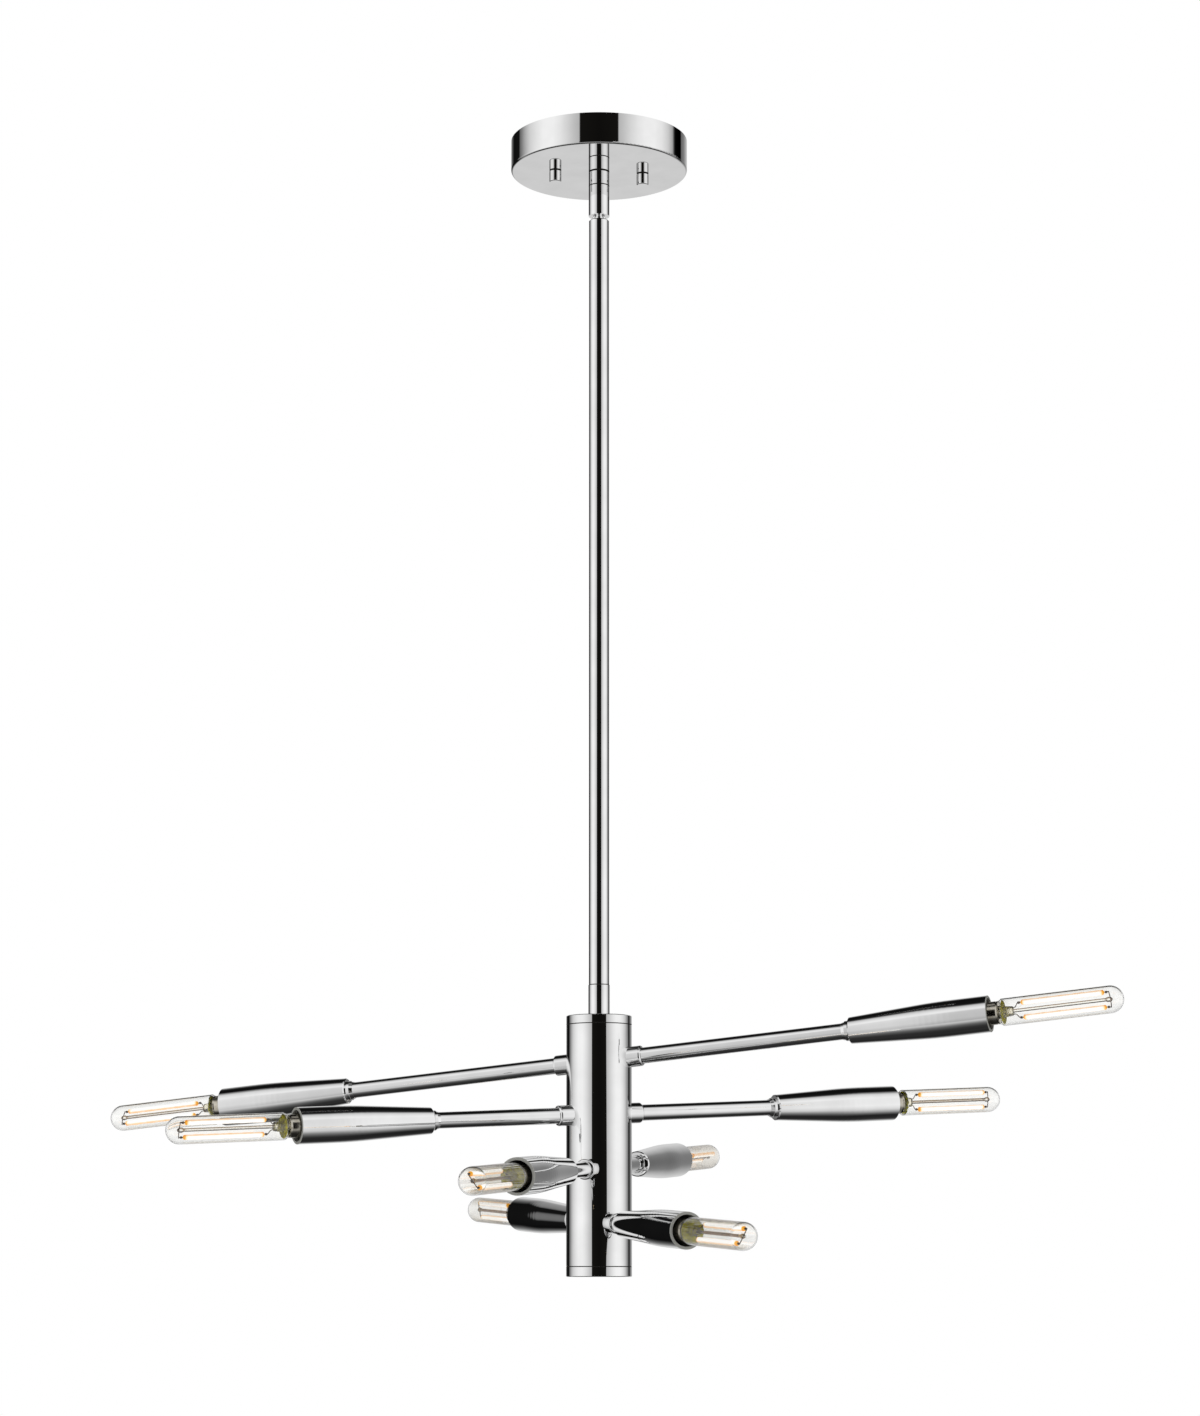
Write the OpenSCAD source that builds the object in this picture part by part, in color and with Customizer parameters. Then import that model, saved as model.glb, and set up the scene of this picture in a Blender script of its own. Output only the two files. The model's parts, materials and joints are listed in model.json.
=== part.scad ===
// Eight-arm sputnik chandelier in polished chrome, hung from a round canopy on a straight rod.
// Millimetres. +Z is up. The origin is the centre of the ceiling plane, so everything hangs
// below z = 0, and the long way of the mounting strap lies along X.
// Each tier of the column carries one arm that rises and one that falls, on the same line.

/* [Ceiling canopy] */
// Diameter of the canopy
canopy_d = 140; // [100:1:180]
// Height of the canopy
canopy_h = 24.6; // [20:0.1:50]
// Sheet thickness of the canopy
canopy_wall = 1.2; // [0.8:0.1:2]
// Rounding of the canopy's lower edge
canopy_edge_r = 1.6; // [1.4:0.1:3]

/* [Mounting strap] */
// Length of the strap
strap_l = 108; // [104:1:120]
// Width of the strap
strap_w = 20; // [14:1:26]
// Thickness of the strap
strap_t = 2; // [1.5:0.1:3]
// Distance from the strap's end to the screw of the ceiling box
box_screw_inset = 9.55; // [9:0.05:12]
// Width of the slots for those screws
slot_w = 4.8; // [4:0.1:6]
// Length of the slots
slot_l = 12; // [8:0.5:13]
// Distance from the strap's end to the canopy stud
stud_inset = 19.075; // [18.5:0.025:24]
// Diameter of the canopy studs
stud_d = 4; // [3:0.1:5]
// Diameter of the canopy knobs
knob_d = 9.5; // [8:0.1:14]
// Length of the canopy knobs
knob_l = 9; // [6:0.1:14]

/* [Swivel] */
// Diameter of the swivel
swivel_d = 16.5; // [15:0.1:20]
// Length of the swivel's upper collar
swivel_collar_l = 11.2; // [8:0.1:16]
// Length of the swivel's socket
swivel_socket_l = 24.8; // [22:0.1:34]
// Diameter of the ball inside the socket
ball_d = 13; // [12.6:0.1:13.6]
// Diameter of the neck under the ball
neck_d = 7.2; // [6:0.1:7.4]
// Open gap between the socket and the rod
swivel_gap = 3.3; // [3:0.1:6]

/* [Rod] */
// Diameter of the hanging rod
rod_d = 15.9; // [14:0.1:20]
// Length of the hanging rod
rod_l = 609.6; // [200:0.1:1200]
// Wall of the hanging rod
rod_wall = 1.4; // [1:0.1:2]
// Diameter of the coupler between rod and column
coupler_d = 16.6; // [15:0.1:22]
// Length of the coupler
coupler_l = 24.6; // [16:0.1:40]

/* [Column] */
// Diameter of the column
column_d = 50.8; // [46:0.1:64]
// Length of the column with its caps
column_l = 201.2; // [195:0.1:300]
// Wall of the column's tube
column_wall = 1.5; // [1:0.1:2.4]
// Height of the top cap
top_cap_h = 7.3; // [4:0.1:12]
// Height of the bottom cap
bottom_cap_h = 8.2; // [4:0.1:12]
// Share of the column's length above the first tier of arms
first_tier_share = 0.1725; // [0.165:0.0001:0.2]
// Share of the column's length from one tier to the next
tier_share = 0.2059; // [0.19:0.0001:0.21]

/* [Arms] */
// Outside diameter of the arm tubes
arm_d = 12.5; // [11:0.1:14]
// Wall of the arm tubes
arm_wall = 1.1; // [0.8:0.1:1.4]
// Where the rising arm of each tier points, degrees from +X
arm_turns = [-25.5, 18.9, 65, 107.8];
// Slope of each tier's pair of arms, degrees
arm_rises = [5.3, 3.2, 3.7, 3.3];
// Bare tube between ferrule and cup on each rising arm
high_tubes = [159.9, 112.9, 55.4, 0.8];
// Bare tube between ferrule and cup on each falling arm
low_tubes = [170, 99.6, 38.4, 5.7];
// Diameter of the ferrules on the column
ferrule_d = 16; // [15:0.1:20]
// Length of the ferrules
ferrule_l = 10.3; // [8:0.1:13]

/* [Socket cups] */
// Length of a cup
cup_l = 108; // [100:0.5:130]
// Diameter at the cup's base
cup_base_d = 20.2; // [19:0.1:24]
// Diameter at the cup's mouth
cup_mouth_d = 27.7; // [25:0.1:32]
// Share of the cup's length that tapers
cup_taper_share = 0.61; // [0.4:0.01:0.75]
// Wall of the cup
cup_wall = 1; // [0.7:0.1:1.6]
// Diameter of the small collar behind the cup
cup_neck_d = 15.4; // [13:0.1:18]

/* [Bulbs] */
// Diameter of the glass
glass_d = 20.6; // [18:0.1:24]
// Length of the glass
glass_l = 93.5; // [70:0.5:110]
// Wall of the glass
glass_wall = 0.7; // [0.5:0.1:1]
// Diameter of the plated collar under the glass
bulb_collar_d = 17.5; // [15:0.1:18]
// How far the collar stands out of the cup
bulb_collar_show = 7.5; // [4:0.1:14]
// Diameter of the screw base
bulb_base_d = 11.86; // [11:0.01:13]
// Length of a filament stick
filament_l = 63; // [40:0.5:66]
// Distance between the two filament sticks
filament_pitch = 13.4; // [9:0.1:15]
// How far each bulb's filament plane is turned, rising arms
high_filament_turns = [26, 7, 65, -12];
// How far each bulb's filament plane is turned, falling arms
low_filament_turns = [33, -27, 35, -27];

/* [Hidden] */
$fn = 96;
six = 6;
// Overrun of every cut past the face it opens
cut = 1;
// Radial clearance of a stud or thread that turns in its hole
turn_clear = 0.05;
// Clearance between a nut and its thread or washer
thread_clear = 0.05;
// Radial clearance of a stud or nipple that drops through a sheet
pass_clear = 0.3;

// Canopy fixings
box_screw_pitch = strap_l - 2 * box_screw_inset;
stud_pitch = strap_l - 2 * stud_inset;
nipple_r = 4.9;
nipple_bore_r = 3.2;
nipple_rise = 10;
canopy_washer_r = 9;
canopy_washer_t = 1;
nut_r = 8.1;
nut_t = 5;
stud_nut_r = 4.6;
stud_nut_t = 3.2;
knob_cap_t = 1.5;
knob_edge_r = 0.8;
stud_end_gap = 0.8;
ground_head_r = 4;
ground_head_t = 2.4;
ground_shank_r = 1.9;
ground_x = 18;
strap_hole_r = 5.4;
strap_end_r = 4;

// Swivel
swivel_floor = canopy_h + swivel_collar_l + swivel_socket_l;
lip_t = 3;
seat_h = 3.2;
seat_clear = 0.1;
ball_clear = 0.4;
ball_seat_clear = 0.05;
seat_hole_r = 5.2;
mouth_flare = 1;
seam_l = 0.6;
ball_r = ball_d / 2;
ball_rise = lip_t + seat_hole_r;
ball_z = -(swivel_floor - ball_rise);
socket_bore_r = ball_r + ball_clear;
collar_spigot_l = 6;
rod_top_z = -(swivel_floor + swivel_gap);
rod_bottom_z = rod_top_z - rod_l;
rod_edge = 0.8;
thread_l = 12;
shank_l = 10;
ball_bore_r = 2.2;

// Column
first_tier_drop = column_l * first_tier_share;
tier_step = column_l * tier_share;
column_top_z = rod_bottom_z - coupler_l;
column_bottom_z = column_top_z - column_l;
column_r = column_d / 2;
column_bore_r = column_r - column_wall;
spigot_l = 5;
cap_edge = 0.5;
cap_hollow_wall = 3;
nipple_tail = 2;

// Arms
arm_thread_r = 4.6;
arm_bore_r = arm_d / 2 - arm_wall;
arm_thread_bore_r = 3.3;
ferrule_floor = 4;
ferrule_edge_r = 1.6;
arm_nut_r = 7.6;
arm_nut_t = 4;
arm_nut_tail = 1.6;
arm_nut_face = sqrt(column_bore_r * column_bore_r - arm_nut_r * arm_nut_r)
    - arm_nut_r * tan(max(arm_rises));
arm_tail_x = arm_nut_face - arm_nut_t - arm_nut_tail;
socket_thread_l = 8;

// Socket cups
cup_neck_l = 5.6;
cup_neck_ring_l = 3;
cup_neck_step = 0.5;
cup_neck_tail_over = 0.3;
cup_lip_t = 2.1;
cup_lip_l = 3;
cup_floor = 3;
cup_edge = 0.8;
cup_rim_edge = 0.3;
cup_taper_l = cup_l * cup_taper_share;
cup_blend_l = 14;
cup_blend_steps = 6;

// Lamp sockets
socket_hub_r = 7;
socket_hub_l = 9;
socket_r = 9.2;
socket_mouth_back = 20;
bulb_base_l = 18;
bulb_tip_l = 4;
bulb_tip_r = 2.4;
bulb_insulator_r = 4.4;
bulb_insulator_l = 2;
bulb_shoulder_l = 2;
bulb_edge_r = 0.6;
socket_mouth = cup_l - socket_mouth_back;
collar_back = socket_mouth + 1.5 * turn_clear;
glass_seat = cup_l + bulb_collar_show;
bulb_tip_at = collar_back - bulb_base_l;

// Glass and filaments
glass_shoulder_l = 2.4;
disc_r = 9.1;
disc_t = 1;
disc_rise = 2.5;
stem_r = 5.2;
stem_top_r = 3.6;
stem_l = 10.8;
support_r = 1.3;
bead_r = 1.9;
bead_faces = 24;
cross_r = 0.35;
cross_over = 0.6;
filament_r = 1.3;
filament_start = 17;
filament_pin_r = 0.35;
filament_pin_l = 3.2;
lead_r = 0.3;
lead_foot_x = 2.6;
lead_foot_back = 1.4;

function tier_z(tier) = column_top_z - first_tier_drop - tier * tier_step;
// From the column's axis to the base of a cup
function reach(tier, high) = column_r + ferrule_l + (high ? high_tubes[tier] : low_tubes[tier]) + cup_neck_l;

// A point on the curve that joins the cup's taper to its straight part
function knee(a, b, c, u) = (1 - u) * (1 - u) * a + 2 * u * (1 - u) * b + u * u * c;

// The cup's outer line from the end of its base edge to its mouth, drawn in by the wall inside
function cup_line(inset) = let (
        base_r = cup_base_d / 2 - inset,
        mouth_r = cup_mouth_d / 2 - inset,
        slope = (mouth_r - base_r) / cup_taper_l,
        start = [base_r + slope * (cup_taper_l - cup_blend_l), cup_taper_l - cup_blend_l],
        corner = [mouth_r, cup_taper_l],
        end = [mouth_r, cup_taper_l + cup_blend_l]
    ) [for (i = [0 : cup_blend_steps]) knee(start, corner, end, i / cup_blend_steps)];

// Places its children on one arm: local +Z runs outward along the arm from the column's axis
module on_arm(tier, high) {
    translate([0, 0, tier_z(tier)])
        rotate([0, high ? -arm_rises[tier] : arm_rises[tier], arm_turns[tier] + (high ? 0 : 180)])
            rotate([0, 90, 0])
                children();
}

// Places its children at one cup's base plane
module on_cup(tier, high) {
    on_arm(tier, high)
        translate([0, 0, reach(tier, high)])
            children();
}

module all_arms() {
    for (tier = [0 : len(arm_turns) - 1])
        for (high = [true, false])
            on_arm(tier, high)
                children();
}

module tube(outer_r, inner_r, length) {
    difference() {
        cylinder(h = length, r = outer_r);
        translate([0, 0, -cut])
            cylinder(h = length + 2 * cut, r = inner_r);
    }
}

// A cylinder whose top edge is bevelled, so that a seam shows where it meets the next piece
module seamed_cylinder(length, radius) {
    cylinder(h = length - seam_l, r = radius);
    translate([0, 0, length - seam_l])
        cylinder(h = seam_l, r1 = radius, r2 = radius - seam_l);
}

// Canopy and what holds it

module canopy_outline(r, h, edge_r) {
    translate([0, edge_r])
        square([r, h - edge_r]);
    square([r - edge_r, h]);
    translate([r - edge_r, edge_r])
        circle(r = edge_r);
}

module canopy() {
    color("silver")
        difference() {
            translate([0, 0, -canopy_h])
                rotate_extrude()
                    difference() {
                        canopy_outline(canopy_d / 2, canopy_h, canopy_edge_r);
                        translate([0, canopy_wall])
                            square([canopy_d / 2 - canopy_wall, canopy_h]);
                    }
            translate([0, 0, -canopy_h - cut])
                cylinder(h = canopy_wall + 2 * cut, r = nipple_r + pass_clear);
            for (side = [-1, 1])
                translate([side * stud_pitch / 2, 0, -canopy_h - cut])
                    cylinder(h = canopy_wall + 2 * cut, r = stud_d / 2 + pass_clear);
        }
}

module slot(length, width, depth) {
    for (side = [-1, 1])
        translate([side * (length - width) / 2, 0, 0])
            cylinder(h = depth, r = width / 2);
    translate([-(length - width) / 2, -width / 2, 0])
        cube([length - width, width, depth]);
}

module mounting_strap() {
    color("gainsboro")
        translate([0, 0, -strap_t])
            difference() {
                union() {
                    translate([-strap_l / 2, -strap_w / 2 + strap_end_r, 0])
                        cube([strap_l, strap_w - 2 * strap_end_r, strap_t]);
                    translate([-strap_l / 2 + strap_end_r, -strap_w / 2, 0])
                        cube([strap_l - 2 * strap_end_r, strap_w, strap_t]);
                    for (x = [-1, 1])
                        for (y = [-1, 1])
                            translate([
                                x * (strap_l / 2 - strap_end_r),
                                y * (strap_w / 2 - strap_end_r),
                                0
                            ])
                                cylinder(h = strap_t, r = strap_end_r);
                }
                translate([0, 0, -cut])
                    cylinder(h = strap_t + 2 * cut, r = strap_hole_r);
                for (side = [-1, 1]) {
                    translate([side * box_screw_pitch / 2, 0, -cut])
                        slot(slot_l, slot_w, strap_t + 2 * cut);
                    translate([side * stud_pitch / 2, 0, -cut])
                        cylinder(h = strap_t + 2 * cut, r = stud_d / 2);
                    translate([side * ground_x, 0, -cut])
                        cylinder(h = strap_t + 2 * cut, r = ground_shank_r);
                }
            }
}

module strap_studs() {
    stud_l = canopy_h + knob_l - knob_cap_t - stud_end_gap;
    color("gainsboro")
        for (side = [-1, 1])
            translate([side * stud_pitch / 2, 0, 0]) {
                translate([0, 0, -stud_l])
                    cylinder(h = stud_l, r = stud_d / 2);
                translate([0, 0, -strap_t - stud_nut_t])
                    difference() {
                        cylinder(h = stud_nut_t, r = stud_nut_r, $fn = six);
                        translate([0, 0, -cut])
                            cylinder(h = stud_nut_t + 2 * cut, r = stud_d / 2 + thread_clear);
                    }
            }
}

module ground_screw() {
    color("seagreen")
        translate([ground_x, 0, 0]) {
            translate([0, 0, -strap_t])
                cylinder(h = strap_t, r = ground_shank_r);
            translate([0, 0, -strap_t - ground_head_t])
                cylinder(h = ground_head_t, r = ground_head_r, $fn = six);
        }
}

module canopy_nut() {
    color("goldenrod") {
        translate([0, 0, -canopy_h + canopy_wall])
            tube(canopy_washer_r, nipple_r + pass_clear, canopy_washer_t);
        translate([0, 0, -canopy_h + canopy_wall + canopy_washer_t + thread_clear])
            difference() {
                cylinder(h = nut_t, r = nut_r, $fn = six);
                translate([0, 0, -cut])
                    cylinder(h = nut_t + 2 * cut, r = nipple_r);
            }
    }
}

module canopy_knob(side) {
    color("silver")
        translate([side * stud_pitch / 2, 0, -canopy_h - knob_l])
            difference() {
                union() {
                    rotate_extrude()
                        intersection() {
                            canopy_outline(knob_d / 2, knob_l - seam_l, knob_edge_r);
                            square([knob_d / 2, knob_l]);
                        }
                    translate([0, 0, knob_edge_r])
                        seamed_cylinder(knob_l - knob_edge_r, knob_d / 2);
                }
                translate([0, 0, knob_cap_t])
                    cylinder(h = knob_l, r = stud_d / 2 + turn_clear);
            }
}

module canopy_knob_left() {
    canopy_knob(-1);
}

module canopy_knob_right() {
    canopy_knob(1);
}

// Swivel

module swivel_collar() {
    bottom = canopy_h + swivel_collar_l;
    nipple_top = canopy_wall + canopy_washer_t + nut_t + nipple_tail;
    color("silver")
        difference() {
            union() {
                translate([0, 0, -bottom])
                    seamed_cylinder(swivel_collar_l, swivel_d / 2);
                translate([0, 0, -bottom - collar_spigot_l])
                    cylinder(h = collar_spigot_l, r = socket_bore_r);
                translate([0, 0, -canopy_h])
                    cylinder(h = nipple_top, r = nipple_r);
            }
            translate([0, 0, -bottom - collar_spigot_l - cut])
                cylinder(
                    h = collar_spigot_l + swivel_collar_l + nipple_top + 2 * cut,
                    r = nipple_bore_r
                );
        }
}

module swivel_socket() {
    color("silver")
        translate([0, 0, -swivel_floor])
            difference() {
                union() {
                    seamed_cylinder(swivel_socket_l, swivel_d / 2);
                }
                translate([0, 0, lip_t])
                    cylinder(h = swivel_socket_l, r = socket_bore_r);
                translate([0, 0, -cut])
                    cylinder(h = lip_t + 2 * cut, r = seat_hole_r);
                cylinder(h = lip_t, r1 = seat_hole_r + mouth_flare, r2 = seat_hole_r);
            }
}

module swivel_seat() {
    color("goldenrod")
        difference() {
            translate([0, 0, -swivel_floor + lip_t])
                tube(socket_bore_r - seat_clear, seat_hole_r, seat_h);
            translate([0, 0, ball_z])
                sphere(r = ball_r + ball_seat_clear);
        }
}

module swivel_ball() {
    neck_l = ball_z - rod_top_z;
    color("silver")
        difference() {
            union() {
                translate([0, 0, ball_z])
                    sphere(r = ball_r);
                translate([0, 0, rod_top_z])
                    cylinder(h = neck_l, r = neck_d / 2);
                translate([0, 0, rod_top_z - shank_l])
                    cylinder(h = shank_l, r = nipple_r);
            }
            translate([0, 0, rod_top_z - shank_l - cut])
                cylinder(h = shank_l + neck_l + ball_d + cut, r = ball_bore_r);
        }
}

module downrod() {
    bore_r = rod_d / 2 - rod_wall;
    color("silver")
        difference() {
            translate([0, 0, rod_bottom_z]) {
                cylinder(h = rod_l - rod_edge, r = rod_d / 2);
                translate([0, 0, rod_l - rod_edge])
                    cylinder(h = rod_edge, r1 = rod_d / 2, r2 = rod_d / 2 - rod_edge);
            }
            translate([0, 0, rod_bottom_z + thread_l])
                cylinder(h = rod_l - 2 * thread_l, r = bore_r);
            translate([0, 0, rod_bottom_z - cut])
                cylinder(h = rod_l + 2 * cut, r = nipple_r);
        }
}

module rod_coupler() {
    color("silver")
        translate([0, 0, column_top_z])
            difference() {
                union() {
                    seamed_cylinder(coupler_l, coupler_d / 2);
                }
                translate([0, 0, -cut])
                    cylinder(h = coupler_l + 2 * cut, r = nipple_r);
            }
}

module column_nipple() {
    bottom = column_top_z - top_cap_h - spigot_l - nut_t - nipple_tail;
    color("goldenrod") {
        translate([0, 0, bottom])
            tube(nipple_r, nipple_bore_r, rod_bottom_z + shank_l - bottom);
        translate([0, 0, column_top_z - top_cap_h - spigot_l - nut_t])
            difference() {
                cylinder(h = nut_t, r = nut_r, $fn = six);
                translate([0, 0, -cut])
                    cylinder(h = nut_t + 2 * cut, r = nipple_r + thread_clear);
            }
    }
}

// Column

// A cap with its face at z = 0, its seam and its spigot towards +Z
module column_cap(height) {
    cylinder(h = cap_edge, r1 = column_r - cap_edge, r2 = column_r);
    translate([0, 0, cap_edge])
        cylinder(h = height - cap_edge - seam_l, r = column_r);
    translate([0, 0, height - seam_l])
        cylinder(h = seam_l, r1 = column_r, r2 = column_r - seam_l);
    cylinder(h = height + spigot_l, r = column_bore_r);
}

module column_top_cap() {
    color("silver")
        translate([0, 0, column_top_z])
            difference() {
                mirror([0, 0, 1])
                    column_cap(top_cap_h);
                translate([0, 0, -top_cap_h - spigot_l - cut])
                    cylinder(h = top_cap_h + spigot_l + 2 * cut, r = nipple_r);
            }
}

module column_bottom_cap() {
    color("silver")
        translate([0, 0, column_bottom_z])
            difference() {
                column_cap(bottom_cap_h);
                translate([0, 0, bottom_cap_h - cap_hollow_wall])
                    cylinder(h = spigot_l + cap_hollow_wall + cut, r = column_bore_r - cap_hollow_wall);
            }
}

module column_tube() {
    color("silver")
        difference() {
            translate([0, 0, column_bottom_z + bottom_cap_h])
                tube(column_r, column_bore_r, column_l - top_cap_h - bottom_cap_h);
            all_arms()
                cylinder(h = column_r + cut, r = arm_thread_r);
        }
}

// Arms

module arm_ferrules() {
    color("silver")
        difference() {
            all_arms()
                difference() {
                    union() {
                        cylinder(h = column_r + ferrule_l - ferrule_edge_r, r = ferrule_d / 2);
                        translate([0, 0, column_r + ferrule_l - ferrule_edge_r])
                            rotate_extrude()
                                intersection() {
                                    union() {
                                        square([ferrule_d / 2 - ferrule_edge_r, ferrule_edge_r]);
                                        translate([ferrule_d / 2 - ferrule_edge_r, 0])
                                            circle(r = ferrule_edge_r);
                                    }
                                    square([ferrule_d / 2, ferrule_edge_r]);
                                }
                    }
                    translate([0, 0, column_r + ferrule_floor])
                        cylinder(h = ferrule_l, r = arm_d / 2);
                    translate([0, 0, column_r - ferrule_l])
                        cylinder(h = 2 * ferrule_l, r = arm_thread_r);
                }
            translate([0, 0, column_bottom_z])
                cylinder(h = column_l, r = column_r);
        }
}

module arm_nuts() {
    color("goldenrod")
        all_arms()
            translate([0, 0, arm_nut_face - arm_nut_t])
                difference() {
                    cylinder(h = arm_nut_t, r = arm_nut_r, $fn = six);
                    translate([0, 0, -cut])
                        cylinder(h = arm_nut_t + 2 * cut, r = arm_thread_r);
                }
}

module arm(tier, high) {
    tube_start = column_r + ferrule_floor;
    tube_end = reach(tier, high) - cup_neck_l;
    thread_end = reach(tier, high) + cup_floor + socket_thread_l;
    color("silver")
        on_arm(tier, high)
            difference() {
                union() {
                    translate([0, 0, tube_start])
                        cylinder(h = tube_end - tube_start, r = arm_d / 2);
                    translate([0, 0, arm_tail_x])
                        cylinder(h = thread_end - arm_tail_x, r = arm_thread_r);
                }
                translate([0, 0, arm_tail_x - cut])
                    cylinder(h = thread_end - arm_tail_x + 2 * cut, r = arm_thread_bore_r);
            }
}

module arm_1_high() { arm(0, true); }
module arm_1_low() { arm(0, false); }
module arm_2_high() { arm(1, true); }
module arm_2_low() { arm(1, false); }
module arm_3_high() { arm(2, true); }
module arm_3_low() { arm(2, false); }
module arm_4_high() { arm(3, true); }
module arm_4_low() { arm(3, false); }

// Socket cups and lamp sockets

module cup(tier, high) {
    base_r = cup_base_d / 2;
    mouth_r = cup_mouth_d / 2;
    inner = cup_line(cup_wall);
    slope = (mouth_r - base_r) / cup_taper_l;
    color("silver")
        on_cup(tier, high)
            rotate_extrude()
                polygon(concat(
                    [
                        [arm_thread_r, -cup_neck_l],
                        [arm_d / 2 + cup_neck_tail_over, -cup_neck_l],
                        [cup_neck_d / 2 - cup_neck_step, -cup_neck_ring_l],
                        [cup_neck_d / 2, -cup_neck_ring_l],
                        [cup_neck_d / 2, 0],
                        [base_r - cup_edge, 0],
                        [base_r + slope * cup_edge, cup_edge]
                    ],
                    cup_line(0),
                    [
                        [mouth_r, cup_l - cup_rim_edge],
                        [mouth_r - cup_rim_edge, cup_l],
                        [mouth_r - cup_lip_t, cup_l],
                        [mouth_r - cup_lip_t, cup_l - cup_lip_l],
                        [mouth_r - cup_wall, cup_l - cup_lip_l - cup_lip_t + cup_wall]
                    ],
                    [for (i = [cup_blend_steps : -1 : 0]) inner[i]],
                    [
                        [base_r - cup_wall + slope * cup_floor, cup_floor],
                        [arm_thread_r, cup_floor]
                    ]
                ));
}

module cup_1_high() { cup(0, true); }
module cup_1_low() { cup(0, false); }
module cup_2_high() { cup(1, true); }
module cup_2_low() { cup(1, false); }
module cup_3_high() { cup(2, true); }
module cup_3_low() { cup(2, false); }
module cup_4_high() { cup(3, true); }
module cup_4_low() { cup(3, false); }

module lamp_socket() {
    difference() {
        union() {
            translate([0, 0, cup_floor])
                cylinder(h = socket_hub_l, r = socket_hub_r);
            translate([0, 0, cup_floor + socket_hub_l])
                cylinder(h = socket_mouth - cup_floor - socket_hub_l, r = socket_r);
        }
        translate([0, 0, cup_floor - cut])
            cylinder(h = socket_thread_l + cut, r = arm_thread_r);
        translate([0, 0, bulb_tip_at])
            cylinder(h = bulb_base_l + cut, r = bulb_base_d / 2 + turn_clear + turn_clear / 2);
    }
}

module lamp_sockets() {
    color("dimgray")
        for (tier = [0 : len(arm_turns) - 1])
            for (high = [true, false])
                on_cup(tier, high)
                    lamp_socket();
}

// Bulbs

module bulb_base(tier, high) {
    base_r = bulb_base_d / 2;
    collar_r = bulb_collar_d / 2;
    color("lightgray")
        on_cup(tier, high)
            rotate_extrude()
                polygon([
                    [0, bulb_tip_at],
                    [bulb_tip_r, bulb_tip_at],
                    [bulb_tip_r, bulb_tip_at + bulb_insulator_l / 2],
                    [bulb_insulator_r, bulb_tip_at + bulb_insulator_l],
                    [base_r, bulb_tip_at + bulb_tip_l],
                    [base_r, collar_back],
                    [collar_r - bulb_edge_r, collar_back],
                    [collar_r, collar_back + bulb_edge_r],
                    [collar_r, glass_seat],
                    [0, glass_seat]
                ]);
}

module bulb_1_high_base() { bulb_base(0, true); }
module bulb_1_low_base() { bulb_base(0, false); }
module bulb_2_high_base() { bulb_base(1, true); }
module bulb_2_low_base() { bulb_base(1, false); }
module bulb_3_high_base() { bulb_base(2, true); }
module bulb_3_low_base() { bulb_base(2, false); }
module bulb_4_high_base() { bulb_base(3, true); }
module bulb_4_low_base() { bulb_base(3, false); }

// Half outline of the glass: a shoulder, a straight side and a round end
module glass_outline(inset) {
    r = glass_d / 2 - inset;
    foot_r = bulb_collar_d / 2 - inset;
    straight_end = glass_l - glass_d / 2;
    polygon([[0, 0], [foot_r, 0], [r, glass_shoulder_l], [r, straight_end], [0, straight_end]]);
    translate([0, straight_end])
        intersection() {
            circle(r = r);
            square([glass_d, glass_d]);
        }
}

module bulb_glass(tier, high) {
    color("white", 0.4)
        on_cup(tier, high)
            translate([0, 0, glass_seat])
                rotate_extrude()
                    difference() {
                        glass_outline(0);
                        glass_outline(glass_wall);
                    }
}

module bulb_1_high_glass() { bulb_glass(0, true); }
module bulb_1_low_glass() { bulb_glass(0, false); }
module bulb_2_high_glass() { bulb_glass(1, true); }
module bulb_2_low_glass() { bulb_glass(1, false); }
module bulb_3_high_glass() { bulb_glass(2, true); }
module bulb_3_low_glass() { bulb_glass(2, false); }
module bulb_4_high_glass() { bulb_glass(3, true); }
module bulb_4_low_glass() { bulb_glass(3, false); }

// The mount inside a bulb: sealing disc, glass stem and rod, two filament sticks and their wires
module bulb_filaments(tier, high) {
    turn = high ? high_filament_turns[tier] : low_filament_turns[tier];
    half = filament_pitch / 2;
    cross_at = filament_start + filament_l + filament_pin_l;
    lead_rise = filament_start - stem_l + lead_foot_back;
    lead_run = half - lead_foot_x;
    lead_l = sqrt(lead_rise * lead_rise + lead_run * lead_run);
    color("wheat")
        on_cup(tier, high)
            translate([0, 0, glass_seat])
                rotate([0, 0, turn]) {
                    translate([0, 0, disc_rise])
                        cylinder(h = disc_t, r = disc_r);
                    cylinder(h = stem_l, r1 = stem_r, r2 = stem_top_r);
                    cylinder(h = cross_at, r = support_r);
                    translate([0, 0, cross_at])
                        sphere(r = bead_r, $fn = bead_faces);
                    translate([-half - cross_over, 0, cross_at])
                        rotate([0, 90, 0])
                            cylinder(h = filament_pitch + 2 * cross_over, r = cross_r);
                    for (side = [-1, 1]) {
                        translate([side * half, 0, filament_start])
                            cylinder(h = filament_l, r = filament_r);
                        translate([side * half, 0, filament_start])
                            cylinder(h = filament_l + filament_pin_l, r = filament_pin_r);
                        translate([side * lead_foot_x, 0, stem_l - lead_foot_back])
                            rotate([0, side * atan2(lead_run, lead_rise), 0])
                                cylinder(h = lead_l + lead_r, r = lead_r);
                    }
                }
}

module bulb_1_high_filaments() { bulb_filaments(0, true); }
module bulb_1_low_filaments() { bulb_filaments(0, false); }
module bulb_2_high_filaments() { bulb_filaments(1, true); }
module bulb_2_low_filaments() { bulb_filaments(1, false); }
module bulb_3_high_filaments() { bulb_filaments(2, true); }
module bulb_3_low_filaments() { bulb_filaments(2, false); }
module bulb_4_high_filaments() { bulb_filaments(3, true); }
module bulb_4_low_filaments() { bulb_filaments(3, false); }

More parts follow.
